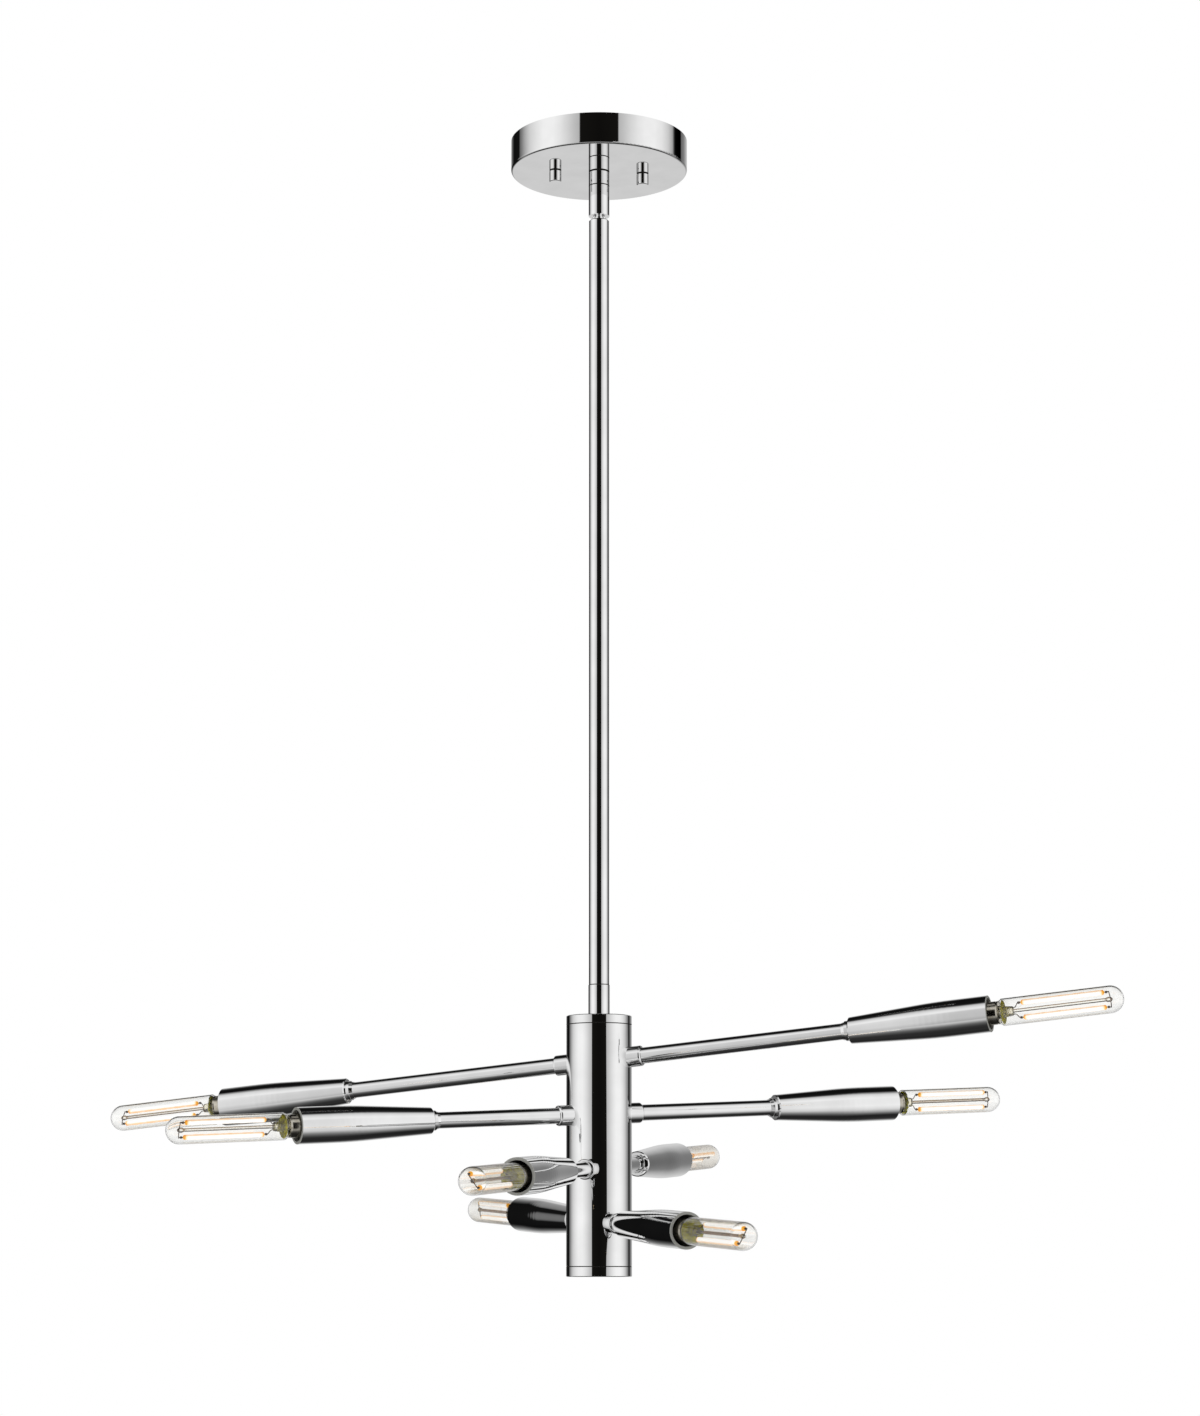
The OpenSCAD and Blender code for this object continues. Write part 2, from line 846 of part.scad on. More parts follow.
mounting_strap();
strap_studs();
ground_screw();
canopy();
canopy_nut();
canopy_knob_left();
canopy_knob_right();
swivel_collar();
swivel_socket();
swivel_seat();
swivel_ball();
downrod();
rod_coupler();
column_nipple();
column_top_cap();
column_tube();
column_bottom_cap();
arm_ferrules();
arm_nuts();
lamp_sockets();
arm_1_high();
arm_1_low();
arm_2_high();
arm_2_low();
arm_3_high();
arm_3_low();
arm_4_high();
arm_4_low();
cup_1_high();
cup_1_low();
cup_2_high();
cup_2_low();
cup_3_high();
cup_3_low();
cup_4_high();
cup_4_low();
bulb_1_high_base();
bulb_1_low_base();
bulb_2_high_base();
bulb_2_low_base();
bulb_3_high_base();
bulb_3_low_base();
bulb_4_high_base();
bulb_4_low_base();
bulb_1_high_glass();
bulb_1_low_glass();
bulb_2_high_glass();
bulb_2_low_glass();
bulb_3_high_glass();
bulb_3_low_glass();
bulb_4_high_glass();
bulb_4_low_glass();
bulb_1_high_filaments();
bulb_1_low_filaments();
bulb_2_high_filaments();
bulb_2_low_filaments();
bulb_3_high_filaments();
bulb_3_low_filaments();
bulb_4_high_filaments();
bulb_4_low_filaments();
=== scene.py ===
"""Chrome sputnik chandelier: finishes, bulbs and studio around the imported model.

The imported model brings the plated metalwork, and each class here dresses one
sub-assembly of it. What a lamp maker would see close up is made new: rolled threads,
chamfered nuts, and the mount inside each bulb with its stem, leads and filaments.
Lengths are metres in the model's own frame, +Z up, the ceiling plane at z = 0.
"""

from __future__ import annotations

import json
import logging
import math
from collections.abc import Callable, Iterable, Mapping, Sequence
from dataclasses import dataclass, replace
from enum import Enum
from functools import partial
from typing import Any

import bpy
import numpy as np
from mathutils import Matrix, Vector


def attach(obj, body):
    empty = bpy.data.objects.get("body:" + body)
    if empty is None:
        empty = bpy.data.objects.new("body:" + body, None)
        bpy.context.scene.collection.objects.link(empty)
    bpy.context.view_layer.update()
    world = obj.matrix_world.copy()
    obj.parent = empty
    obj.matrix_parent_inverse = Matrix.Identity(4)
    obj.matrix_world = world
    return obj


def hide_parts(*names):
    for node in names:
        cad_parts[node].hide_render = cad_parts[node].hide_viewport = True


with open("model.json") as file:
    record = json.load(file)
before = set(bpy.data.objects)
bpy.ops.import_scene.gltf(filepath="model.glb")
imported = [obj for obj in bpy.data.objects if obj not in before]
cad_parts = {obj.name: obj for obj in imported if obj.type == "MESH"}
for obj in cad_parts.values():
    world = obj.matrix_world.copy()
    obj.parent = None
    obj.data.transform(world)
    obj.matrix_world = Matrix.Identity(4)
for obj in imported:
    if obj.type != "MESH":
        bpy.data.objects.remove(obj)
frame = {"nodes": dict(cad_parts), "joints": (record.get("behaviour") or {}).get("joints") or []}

MM = 0.001
DEGREE = math.radians(1)
WHITE = "#FFFFFF"
LOG = logging.getLogger("chandelier")

Socket = bpy.types.NodeSocket
Piece = bpy.types.Object
Pair = tuple[float, float]
Stops = tuple[tuple[float, str], ...]
# Adds a node to one tree: add_node() with its tree given.
Adder = Callable[..., Socket]


# Colour and node helpers


def linear(code: str) -> tuple[float, ...]:
    """Turns an sRGB hex colour into linear RGBA.

    A channel c becomes c / 12.92 near black, and otherwise
    ((c + 0.055) / 1.055) to the power 2.4.

    Args:
        code: Colour as "#RRGGBB".

    Returns:
        Linear red, green and blue, and full opacity.
    """
    channels = (int(code[i : i + 2], 16) / 255 for i in (1, 3, 5))
    return (*(c / 12.92 if c <= 0.04045 else ((c + 0.055) / 1.055) ** 2.4 for c in channels), 1.0)


def add_node(
    tree: bpy.types.NodeTree,
    kind: str,
    inputs: Mapping[str, Any] | Sequence[Any] = (),
    out: str | None = None,
    **settings: Any,
) -> Socket | None:
    """Adds one node with its settings and links.

    Args:
        tree: Node tree that gets the node.
        kind: Node type name, without the "ShaderNode" prefix.
        inputs: What each input gets, by its name or in order. A socket is linked, a hex
            colour is made linear, and another value is set as it is.
        out: Output to hand back, where it isn't the first one in use.
        **settings: Properties of the node itself.

    Returns:
        The output socket, or None for a node that has none.
    """
    node = tree.nodes.new("ShaderNode" + kind)
    for name, value in settings.items():
        setattr(node, name, value)
    for key, value in inputs.items() if isinstance(inputs, Mapping) else enumerate(inputs):
        if isinstance(value, Socket):
            tree.links.new(value, node.inputs[key])
        else:
            node.inputs[key].default_value = linear(value) if isinstance(value, str) else value
    return node.outputs[out] if out else next((s for s in node.outputs if s.enabled), None)


# Setting of a Mix node that mixes colours.
COLOURS = {"data_type": "RGBA"}


def tone_over(add: Adder, value: Socket, stops: Stops, unit: float = 1.0) -> Socket:
    """The colour that stops give to a value, held past the first and the last stop.

    Args:
        add: Adds a node to the tree.
        value: The value that the stops lie on.
        stops: Places in units, in order, with their sRGB hex colours.
        unit: Size of one unit, such as a degree in radians.

    Returns:
        The colour socket.
    """
    low, high = stops[0][0], stops[-1][0]
    colour = add("ValToRGB", (add("MapRange", (value, low * unit, high * unit)),))
    elements = colour.node.color_ramp.elements
    while len(elements) < len(stops):
        elements.new(1.0)
    for element, (place, code) in zip(elements, stops):
        element.position = (place - low) / (high - low)
        element.color = linear(code)
    return colour


def band(add: Adder, value: Socket, limits: Sequence[float], unit: float) -> Socket:
    """One between the inner two of four limits, falling to zero at the outer two.

    Args:
        add: Adds a node to the tree.
        value: The value that the limits lie on.
        limits: Start, full, fade and end, in units.
        unit: Size of one unit.

    Returns:
        The product of the rise and the fall.
    """
    start, full, fade, end = (limit * unit for limit in limits)
    sides = add("MapRange", (value, start, full)), add("MapRange", (value, fade, end, 1.0, 0.0))
    return add("Math", sides, operation="MULTIPLY")


@dataclass(frozen=True)
class Lie:
    """Where a pattern lies: the point and the turn that bring a piece's axis onto +Z."""

    label: str = "upright"
    centre: tuple[float, ...] = (0.0, 0.0, 0.0)
    turn: float = 0.0
    tilt: float = 0.0

    def coordinates(self, add: Adder, stretch: tuple[float, ...] = (1, 1, 1)) -> Socket:
        """Object coordinates, centred and turned so that the piece's own axis is Z.

        Args:
            add: Adds a node to the tree.
            stretch: Scale of the pattern along the piece's own axes.

        Returns:
            The vector socket.
        """
        spot = add("TexCoord", out="Object")
        spot = add("VectorMath", (spot, self.centre), operation="SUBTRACT")
        for axis, angle in (("Z_AXIS", self.turn), ("Y_AXIS", self.tilt)):
            spot = add("VectorRotate", {"Vector": spot, "Angle": -angle}, rotation_type=axis)
        return add("Mapping", {"Vector": spot, "Scale": stretch})


UPRIGHT = Lie()
# The part of its range that most of a noise fills.
USUAL = (0.3, 0.7)


@dataclass(frozen=True)
class Grain:
    """A noise with cells of a real size, stretched along its piece's own axes."""

    size_mm: float
    detail: float = 2.0
    roughness: float = 0.5
    stretch: tuple[float, ...] = (1, 1, 1)

    def over(self, add: Adder, lie: Lie = UPRIGHT) -> Socket:
        """The noise, from 0 to 1, at a scale of one over the cell's size in metres."""
        inputs = {"Scale": 1 / MM / self.size_mm, "Detail": self.detail}
        inputs |= {"Roughness": self.roughness, "Vector": lie.coordinates(add, self.stretch)}
        return add("TexNoise", inputs)


class Finish:
    """A surface finish, whose material is built once and handed out again."""

    name: str

    def build(self, add: Adder) -> Socket:
        """Builds the nodes and returns the surface socket."""
        raise NotImplementedError

    def material(self) -> bpy.types.Material:
        """The Blender material, built on first use."""
        made = bpy.data.materials.get(self.name)
        if made is None:
            made = bpy.data.materials.new(self.name)
            made.use_nodes = True
            made.node_tree.nodes.clear()
            add = partial(add_node, made.node_tree)
            add("OutputMaterial", {"Surface": self.build(add)})
        return made


# Finishes


@dataclass(frozen=True)
class ChromePlate(Finish):
    """Bright chrome over buffed steel: a near-white mirror with buffing haze.

    The haze breaks the mirror in soft patches, and faint turning marks round the
    piece's own axis pull highlights into the thin lines that polished tube shows.
    """

    lie: Lie = UPRIGHT
    kind: str = "plate"
    colour: str = "#F6F6F6"
    haze_colour: str = "#EDEDED"
    haze: Grain = Grain(26.0, 3.0, 0.6)
    marks: Grain = Grain(1.4, 2.0, 0.6, (0.04, 0.04, 1.0))
    marks_share: float = 0.35
    marks_depth: float = 0.00025 * MM
    waves: Grain = Grain(18.0, 0.0)
    waves_depth: float = 0.003 * MM
    worn: Pair = (0.1, 1.3)
    rough: Pair = (0.006, 0.026)
    # Satin colour of a cup's inside; in SeamPlate, the painted shade at the seams.
    satin_and_seam_shade_colour: str = "#9C9C97"
    dull_rough: float = 0.6
    dull_metal: float = 0.35

    @property
    def name(self) -> str:
        """Material name, one for each direction that the marks run in."""
        return f"chrome_{self.kind}_{self.lie.label}"

    def dull(self, add: Adder) -> Socket | None:
        """Where the plate isn't bright, from 0 to 1, or None for nowhere."""
        return None

    def build(self, add: Adder) -> Socket:
        """Builds the plate: mirror, haze in the roughness, marks and long waves.

        Args:
            add: Adds a node to the material's tree.

        Returns:
            The surface socket.
        """
        haze = add("MapRange", (self.haze.over(add, self.lie), *USUAL))
        marks = self.marks.over(add, self.lie)
        rough = add("Math", (marks, self.marks_share, haze), operation="MULTIPLY_ADD")
        rough = add("MapRange", (rough, *self.worn, *self.rough))
        tint = add("Mix", {"Factor": haze, "A": self.colour, "B": self.haze_colour}, **COLOURS)
        metal, dull = 1.0, self.dull(add)
        if dull is not None:
            rough = add("Mix", {"Factor": dull, "A": rough, "B": self.dull_rough})
            tint = add("Mix", {"Factor": dull, "A": tint, "B": self.satin_and_seam_shade_colour}, **COLOURS)
            metal = add("MapRange", (dull, 0.0, 1.0, 1.0, self.dull_metal))
        waves = self.waves.over(add, self.lie)
        waves = add("Bump", {"Distance": self.waves_depth, "Height": waves})
        lines = add("Bump", {"Distance": self.marks_depth, "Height": marks, "Normal": waves})
        inputs = {"Base Color": tint, "Metallic": metal, "Roughness": rough, "Normal": lines}
        return add("BsdfPrincipled", inputs)


@dataclass(frozen=True)
class SeamPlate(ChromePlate):
    """Chrome on pieces that meet end to end, with painted shade in a dark band at each seam.

    The seams are level, so each is a thin band round one height.
    """

    kind: str = "seam"
    # Painted shade: the dark line where two pieces meet, put into the plate's colour.
    satin_and_seam_shade_colour: str = "#24221F"
    seams_mm: tuple[float, ...] = (-24.9, -36.1, -673.8, -705.1, -891.4)
    half_mm: float = 0.42

    def dull(self, add: Adder) -> Socket:
        """One within half_mm of a seam's height, and zero elsewhere.

        Args:
            add: Adds a node to the material's tree.

        Returns:
            The highest of the seams' bands.
        """
        height = add("SeparateXYZ", (self.lie.coordinates(add),), "Z")
        total = 0.0
        # Painted shade band round each seam's height.
        for seam in self.seams_mm:
            near = add("Math", (height, seam * MM, self.half_mm * MM), operation="COMPARE")
            total = add("Math", (total, near), operation="MAXIMUM")
        return total


@dataclass(frozen=True)
class CupPlate(ChromePlate):
    """Chrome on a spun cup, whose inside and cut mouth stay satin from the tool.

    The satin mouth reads as a mid-grey ring round the bulb, where a polished one would
    only mirror the dark socket. Lie.centre is the middle of the cup's base.
    """

    kind: str = "cup"
    mouth_mm: float = 107.7
    inside_from_mm: float = 70.0
    inside_radius_mm: float = 13.35

    def dull(self, add: Adder) -> Socket:
        """Satin past the mouth's plane, and inside the wall near the mouth.

        Args:
            add: Adds a node to the material's tree.

        Returns:
            One where the plate is satin, and zero elsewhere.
        """
        x, y, along = add("SeparateXYZ", (self.lie.coordinates(add),)).node.outputs
        radius = add("VectorMath", (add("CombineXYZ", (x, y)),), operation="LENGTH")
        mouth, deep, within = (
            add("Math", (value, limit * MM), operation=rule)
            for rule, value, limit in (
                ("GREATER_THAN", along, self.mouth_mm),
                ("GREATER_THAN", along, self.inside_from_mm),
                ("LESS_THAN", radius, self.inside_radius_mm),
            )
        )
        inside = add("Math", (deep, within), operation="MULTIPLY")
        return add("Math", (inside, mouth), operation="MAXIMUM")


@dataclass(frozen=True)
class ZincPlate(Finish):
    """Clear-passivated zinc on pressed steel: pale grey, spangled and a little milky."""

    name: str = "zinc_passivated_steel"
    shade: str = "#8F9394"
    colour: str = "#B4B7B8"
    spangle_mm: float = 2.2
    milk: Grain = Grain(12.0, 4.0, 0.6)
    rolled: Grain = Grain(0.5, 2.0, 0.5, (0.05, 1.0, 1.0))
    rolled_depth: float = 0.01 * MM
    rough: Pair = (0.3, 0.46)

    def build(self, add: Adder) -> Socket:
        """Builds the zinc: half crystal spangle, half milk, and fine rolled relief.

        Args:
            add: Adds a node to the material's tree.

        Returns:
            The surface socket.
        """
        spangle = {"Vector": UPRIGHT.coordinates(add), "Scale": 1 / MM / self.spangle_mm}
        milk = add("MapRange", (self.milk.over(add), *USUAL, 0.0, 0.5))
        tone = (add("TexVoronoi", spangle, "Color"), 0.5, milk)
        tone = add("Math", tone, operation="MULTIPLY_ADD")
        lines = {"Distance": self.rolled_depth, "Height": self.rolled.over(add)}
        inputs = {
            "Base Color": add("Mix", {"Factor": tone, "A": self.shade, "B": self.colour}, **COLOURS),
            "Metallic": 0.9,
            "Roughness": add("MapRange", (tone, 0.0, 1.0, *self.rough)),
            "Normal": add("Bump", lines),
        }
        return add("BsdfPrincipled", inputs)


@dataclass(frozen=True)
class Mottled(Finish):
    """A finish whose colour, roughness and relief follow grains of real size.

    The tone grain mixes the shades as it crosses its span. The relief follows the fine
    grain and the roughness the worn one; for None, the grain before it stands in.
    """

    name: str
    shades: tuple[str, str]
    tone: Grain
    rough: Pair
    relief_mm: float
    sockets: Mapping[str, float]
    span: Pair = USUAL
    most: float = 1.0
    fine: Grain | None = None
    worn: Grain | None = None
    lie: Lie = UPRIGHT

    def build(self, add: Adder) -> Socket:
        """Builds the mottling, with what is the same all over set on the shader.

        Args:
            add: Adds a node to the material's tree.

        Returns:
            The surface socket.
        """
        tone = self.tone.over(add, self.lie)
        fine = self.fine.over(add, self.lie) if self.fine else tone
        worn = self.worn.over(add, self.lie) if self.worn else fine
        share = add("MapRange", (tone, *self.span, 0.0, self.most))
        first, second = self.shades
        low, high = self.rough
        inputs = {
            "Base Color": add("Mix", {"Factor": share, "A": first, "B": second}, **COLOURS),
            "Roughness": low if low == high else add("MapRange", (worn, *USUAL, low, high)),
            "Normal": add("Bump", {"Distance": self.relief_mm * MM, "Height": fine}),
        }
        return add("BsdfPrincipled", inputs | self.sockets)


# Green-dyed zinc on an earth screw: dark, metallic under the dye, worn paler.
GREEN_SCREW = Mottled(
    "green_dyed_zinc", ("#1E7A44", "#3E9C66"), Grain(1.4, 4.0, 0.65),
    rough=(0.32, 0.5), relief_mm=0.02, sockets={"Metallic": 0.55},
)
# Bar brass from the lathe: warm yellow, turning rings and brown handling marks.
TURNED_BRASS = Mottled(
    "turned_brass", ("#A8823F", "#CFAE62"), Grain(5.0, 4.0, 0.6), span=(0.25, 0.55),
    fine=Grain(0.25, 1.0, 0.5, (0.03, 0.03, 1.0)),
    rough=(0.18, 0.34), relief_mm=0.004, sockets={"Metallic": 1.0},
)
# Compression-moulded phenolic resin: black, dull where the mould was, faint flow.
PHENOLIC = Mottled(
    "phenolic_moulded_black", ("#17171A", "#2A2A2B"), Grain(0.5, 3.0, 0.6), span=(0.45, 0.75),
    worn=Grain(9.0), rough=(0.34, 0.52), relief_mm=0.03, sockets={"IOR": 1.6},
)
# Nickel-plated brass of a lamp cap: warm grey, with drawn marks along the cap.
NICKEL_PLATE = Mottled(
    "nickel_plate", ("#C9C4B8", "#A59D8C"), Grain(3.0, 3.0, 0.6), span=(0.4, 0.75),
    fine=Grain(0.35, 2.0, 0.5, (1.0, 1.0, 0.05)),
    rough=(0.1, 0.24), relief_mm=0.003, sockets={"Metallic": 1.0},
)
# Lead glass pressed hot round the leads: clear, rippled, with faint brown streaks.
STEM_GLASS = Mottled(
    "pressed_stem_glass", ("#F6F1DE", "#B9A67E"), Grain(1.1, 3.0, 0.7), span=(0.5, 0.72),
    most=0.8, fine=Grain(1.6, 2.0, 0.55), rough=(0.02, 0.02), relief_mm=0.5,
    sockets={"Transmission Weight": 1.0, "IOR": 1.55},
)
# Nickel-iron lead wire and its crimps: dark grey, oxidised where it was welded.
LEAD_WIRE = Mottled(
    "nickel_iron_wire", ("#57534E", "#6E4F30"), Grain(1.0, 3.0, 0.6), span=(0.4, 0.65),
    rough=(0.3, 0.55), relief_mm=0.01, sockets={"Metallic": 0.8},
)
# Lamp cement seen through the glass foot: olive yellow, mottled and slightly waxy.
SEAL_CEMENT = Mottled(
    "lamp_cement_olive", ("#8E8606", "#D6CF12"), Grain(2.6, 4.0, 0.65), span=(0.35, 0.65),
    rough=(0.45, 0.7), relief_mm=0.15, sockets={"IOR": 1.4, "Specular IOR Level": 0.15},
)
# Black vitrite glass that holds a cap's centre contact: glossy, slightly wavy.
VITRITE = Mottled(
    "vitrite_black", ("#141214", "#2B2026"), Grain(2.0, 3.0), span=(0.0, 1.0),
    rough=(0.12, 0.3), relief_mm=0.05, sockets={"IOR": 1.55},
)


@dataclass(frozen=True)
class ClearGlass(Finish):
    """Drawn soda-lime tube, closed in the flame: clear, with long draw lines.

    Beside the lit sticks, where the wall is seen at a slant, its colour turns warm: a
    painted glow of the sticks' light. Towards its rim the colour darkens, most of all at
    the dome: partly the longer path through the wall, and partly painted shade.
    Lie.centre is the middle of the tube's foot.
    """

    lie: Lie = UPRIGHT
    colour: str = "#FEFEFD"
    # Painted glow: the lit sticks' warm light, put into the glass's own colour.
    warm: str = "#F9F1E2"
    # Rim colour: the longer path through the wall, deepened by painted shade.
    rim: str = "#4C4A45"
    # Rim colour within the painted glow band: painted shade, warmed by painted glow.
    rim_in_painted_glow: str = "#6A5638"
    # Rim colour at the dome: painted shade, darkest there.
    dome_rim_shade: str = "#302F2B"
    dome_mm: Pair = (80.0, 86.0)
    # Heights of the band beside the sticks where their glow is painted on the glass.
    painted_glow_mm: tuple[float, ...] = (14.0, 20.0, 78.0, 84.0)
    painted_glow_span: Pair = (0.55, 0.75)
    rim_span: Pair = (0.72, 0.9)
    lines: Grain = Grain(2.2, 1.0, 0.5, (1.0, 1.0, 0.02))
    lines_depth: float = 0.0006 * MM
    waves: Grain = Grain(16.0, 1.0)
    waves_depth: float = 0.006 * MM

    @property
    def name(self) -> str:
        """Material name, one for each direction of the tubes."""
        return f"clear_glass_{self.lie.label}"

    def build(self, add: Adder) -> Socket:
        """Builds the glass: refraction with draw lines and slow thickness waves.

        Args:
            add: Adds a node to the material's tree.

        Returns:
            The surface socket.
        """
        along = add("SeparateXYZ", (self.lie.coordinates(add),), "Z")
        lit = band(add, along, self.painted_glow_mm, MM)
        dome = add("MapRange", (along, *(place * MM for place in self.dome_mm)))
        facing = add("LayerWeight", out="Facing")
        glow, edge = (add("MapRange", (facing, *span)) for span in (self.painted_glow_span, self.rim_span))
        # Painted glow: warm where the wall is seen at a slant, within the band by the sticks.
        glow = add("Math", (glow, lit), operation="MULTIPLY")
        rim = add("Mix", {"Factor": lit, "A": self.rim, "B": self.rim_in_painted_glow}, **COLOURS)
        rim = add("Mix", {"Factor": dome, "A": rim, "B": self.dome_rim_shade}, **COLOURS)
        clear = add("Mix", {"Factor": glow, "A": self.colour, "B": self.warm}, **COLOURS)
        waves, lines = (grain.over(add, self.lie) for grain in (self.waves, self.lines))
        waves = add("Bump", {"Distance": self.waves_depth, "Height": waves})
        drawn = {"Distance": self.lines_depth, "Height": lines, "Normal": waves}
        inputs = {
            "Base Color": add("Mix", {"Factor": edge, "A": clear, "B": rim}, **COLOURS),
            "Roughness": 0.0, "IOR": 1.5, "Transmission Weight": 1.0,
            "Normal": add("Bump", drawn),
        }
        return add("BsdfPrincipled", inputs)


@dataclass(frozen=True)
class RodGlass(Finish):
    """Thin drawn glass rod: clear, with a brown rim by facing that is painted glow, for the light
    the rod bends.
    """

    name: str = "drawn_rod_glass"
    clear: str = "#FFFDF6"
    # Painted light: the brown of the bent glow, put into the rod's colour at its rim.
    brown: str = "#6A4A22"
    rim_blend: float = 0.35
    rim_span: Pair = (0.02, 0.15)
    seeds: Grain = Grain(2.4)
    seeds_depth: float = 0.05 * MM

    def build(self, add: Adder) -> Socket:
        """Builds the rod: a painted brown glow at its rim by facing, seeds and bubbles in the
        relief.

        Args:
            add: Adds a node to the material's tree.

        Returns:
            The surface socket.
        """
        rim = add("MapRange", (add("LayerWeight", (self.rim_blend,), "Facing"), *self.rim_span))
        bubbles = {"Distance": self.seeds_depth, "Height": self.seeds.over(add)}
        inputs = {
            "Base Color": add("Mix", {"Factor": rim, "A": self.clear, "B": self.brown}, **COLOURS),
            "Roughness": 0.02, "IOR": 1.5, "Transmission Weight": 1.0,
            "Normal": add("Bump", bubbles),
        }
        return add("BsdfPrincipled", inputs)


@dataclass(frozen=True)
class FilamentCoat(Finish):
    """Phosphor-filled silicone on a lit filament stick: white faces, peach edges, amber ends.

    The coat's own "along" attribute runs from 0 to 1 over the stick, because the glow
    fades to the amber of the bare phosphor in the last few millimetres. Its "flank"
    runs from 0 on the two lit faces to 1 on the edges of the strip inside.
    """

    name: str = "phosphor_silicone_lit"
    ends: Stops = (
        (0.0, "#D9921C"), (0.02, "#F0AC34"), (0.038, "#FFF3D8"), (0.06, WHITE),
        (0.94, WHITE), (0.962, "#FFF3D8"), (0.98, "#F0AC34"), (1.0, "#D9921C"),
    )
    peach: str = "#EDC08C"
    body: str = "#B4B0A8"
    edge_span: Pair = (0.55, 0.95)
    lumps: Grain = Grain(1.8)
    lumps_depth: float = 0.08 * MM

    def build(self, add: Adder) -> Socket:
        """Builds the glow: a ramp along the stick, peach edges, lumps in the coat.

        Args:
            add: Adds a node to the material's tree.

        Returns:
            The surface socket.
        """
        along, flank = (
            add("Attribute", out="Fac", attribute_name=name) for name in ("along", "flank")
        )
        edge = add("MapRange", (flank, *self.edge_span))
        glow = {"Factor": edge, "A": tone_over(add, along, self.ends), "B": self.peach}
        glow = add("Mix", glow, **COLOURS, blend_type="MULTIPLY")
        unlit = {"Factor": 1.0, "A": glow, "B": self.body}
        lumps = {"Distance": self.lumps_depth, "Height": self.lumps.over(add)}
        inputs = {
            "Base Color": add("Mix", unlit, **COLOURS, blend_type="MULTIPLY"),
            "Roughness": 0.5, "IOR": 1.41, "Emission Color": glow, "Emission Strength": 1.0,
            "Normal": add("Bump", lumps),
        }
        return add("BsdfPrincipled", inputs)


# Shapes as whole arrays


@dataclass(frozen=True)
class Shell:
    """A closed surface as arrays: points, faces of four and of three corners, slots."""

    points: np.ndarray
    quads: np.ndarray
    triangles: np.ndarray
    slots: np.ndarray | None = None

    @staticmethod
    def joined(shells: Sequence[Shell]) -> Shell:
        """Puts several shells into one, each with its own points."""
        starts = np.cumsum([0] + [len(s.points) for s in shells[:-1]])
        return Shell(
            np.vstack([s.points for s in shells]),
            np.vstack([s.quads + k for s, k in zip(shells, starts)]),
            np.vstack([s.triangles + k for s, k in zip(shells, starts)]),
        )

    def moved(self, turn: np.ndarray, shift: np.ndarray) -> Shell:
        """The same shell with its points turned by a matrix and then shifted."""
        return replace(self, points=self.points @ turn.T + shift)


def round_angles(sides: int) -> np.ndarray:
    """Angles of points spaced evenly round a circle, from zero."""
    return np.linspace(0, 2 * np.pi, sides, endpoint=False)


def closed_grid(grid: np.ndarray, looped: bool = False) -> Shell:
    """Closes a grid of rings into a shell, whose faces point outwards.

    Quads join each ring to the next. A looped grid goes on from its last ring to its
    first, as round a bore. Otherwise the first and last ring have shrunk to one point
    each, and a fan of triangles joins that point to its neighbour ring.

    Args:
        grid: Points of shape (rings, sides, 3), turning left round the line of travel,
            or for a looped grid left about the axis with the rings round the section.
        looped: Whether the rings close on themselves.

    Returns:
        The shell.
    """
    rings, sides, _ = grid.shape
    j = np.arange(sides)
    k = (j + 1) % sides
    if looped:
        points, fans = grid.reshape(-1, 3), np.zeros((0, 3), int)
        low = np.arange(rings)[:, None] * sides
        high = (low + sides) % (rings * sides)
    else:
        points = np.vstack([grid[:1, 0], grid[1:-1].reshape(-1, 3), grid[-1:, 0]])
        low = 1 + np.arange(rings - 3)[:, None] * sides
        high = low + sides
        last = len(points) - 1
        base = last - sides
        corners = ([0 * j, 1 + k, 1 + j], [0 * j + last, base + j, base + k])
        fans = np.vstack([np.stack(fan, axis=-1) for fan in corners])
    quads = np.stack([low + j, low + k, high + k, high + j], axis=-1).reshape(-1, 4)
    return Shell(points, quads, fans)


def turned(
    radii: np.ndarray,
    heights: np.ndarray,
    sides: int,
    swell: np.ndarray | float = 0.0,
    looped: bool = False,
) -> Shell:
    """A turned shape: (r cos a, r sin a, h) for each profile point and angle a.

    Args:
        radii: Radius at each profile point.
        heights: Height at each profile point.
        sides: Points round the axis.
        swell: Extra radius, of shape (profile, sides) or one number.
        looped: Whether the profile closes on itself, as round a bore.

    Returns:
        The closed shell.
    """
    angle = round_angles(sides)
    radius = np.maximum(radii[:, None] + swell + 0 * angle, 0.0)
    height = heights[:, None] + 0 * angle
    grid = np.stack([radius * np.cos(angle), radius * np.sin(angle), height], axis=-1)
    return closed_grid(grid, looped)


def thread_swell(
    heights: np.ndarray, sides: int, pitch: float, depth: float, weight: np.ndarray
) -> np.ndarray:
    """Extra radius of a right-hand thread, zero at the crest and -depth at the root.

    The phase at height h and angle a is h / pitch - a / (2 pi). The depth follows a
    raised cosine of it, which is the rounded form of a rolled thread.

    Args:
        heights: Height at each profile point.
        sides: Points round the axis.
        pitch: Rise of one turn.
        depth: Crest to root.
        weight: From 0 to 1 at each profile point, where the thread runs out.

    Returns:
        Array of shape (profile, sides).
    """
    phase = 2 * np.pi * heights[:, None] / pitch - round_angles(sides)
    return -depth * weight[:, None] * (0.5 - 0.5 * np.cos(phase))


def smooth_line(corners: np.ndarray, count: int) -> np.ndarray:
    """A smooth path through a few corners.

    Each coordinate is a piecewise cubic of the distance along the corners, with the
    tangent at a corner half the step between its neighbours.

    Args:
        corners: Corner points of shape (n, 3).
        count: Points on the path.

    Returns:
        Points of shape (count, 3).
    """
    padded = np.vstack([2 * corners[0] - corners[1], corners, 2 * corners[-1] - corners[-2]])
    place = np.linspace(0, len(corners) - 1, count)
    k = np.minimum(place.astype(int), len(corners) - 2)
    t = (place - k)[:, None]
    a, b, c, d = (padded[k + n] for n in range(4))
    cubic = (2 * a - 5 * b + 4 * c - d) * t**2 + (3 * b - a - 3 * c + d) * t**3
    return 0.5 * (2 * b + (c - a) * t + cubic)


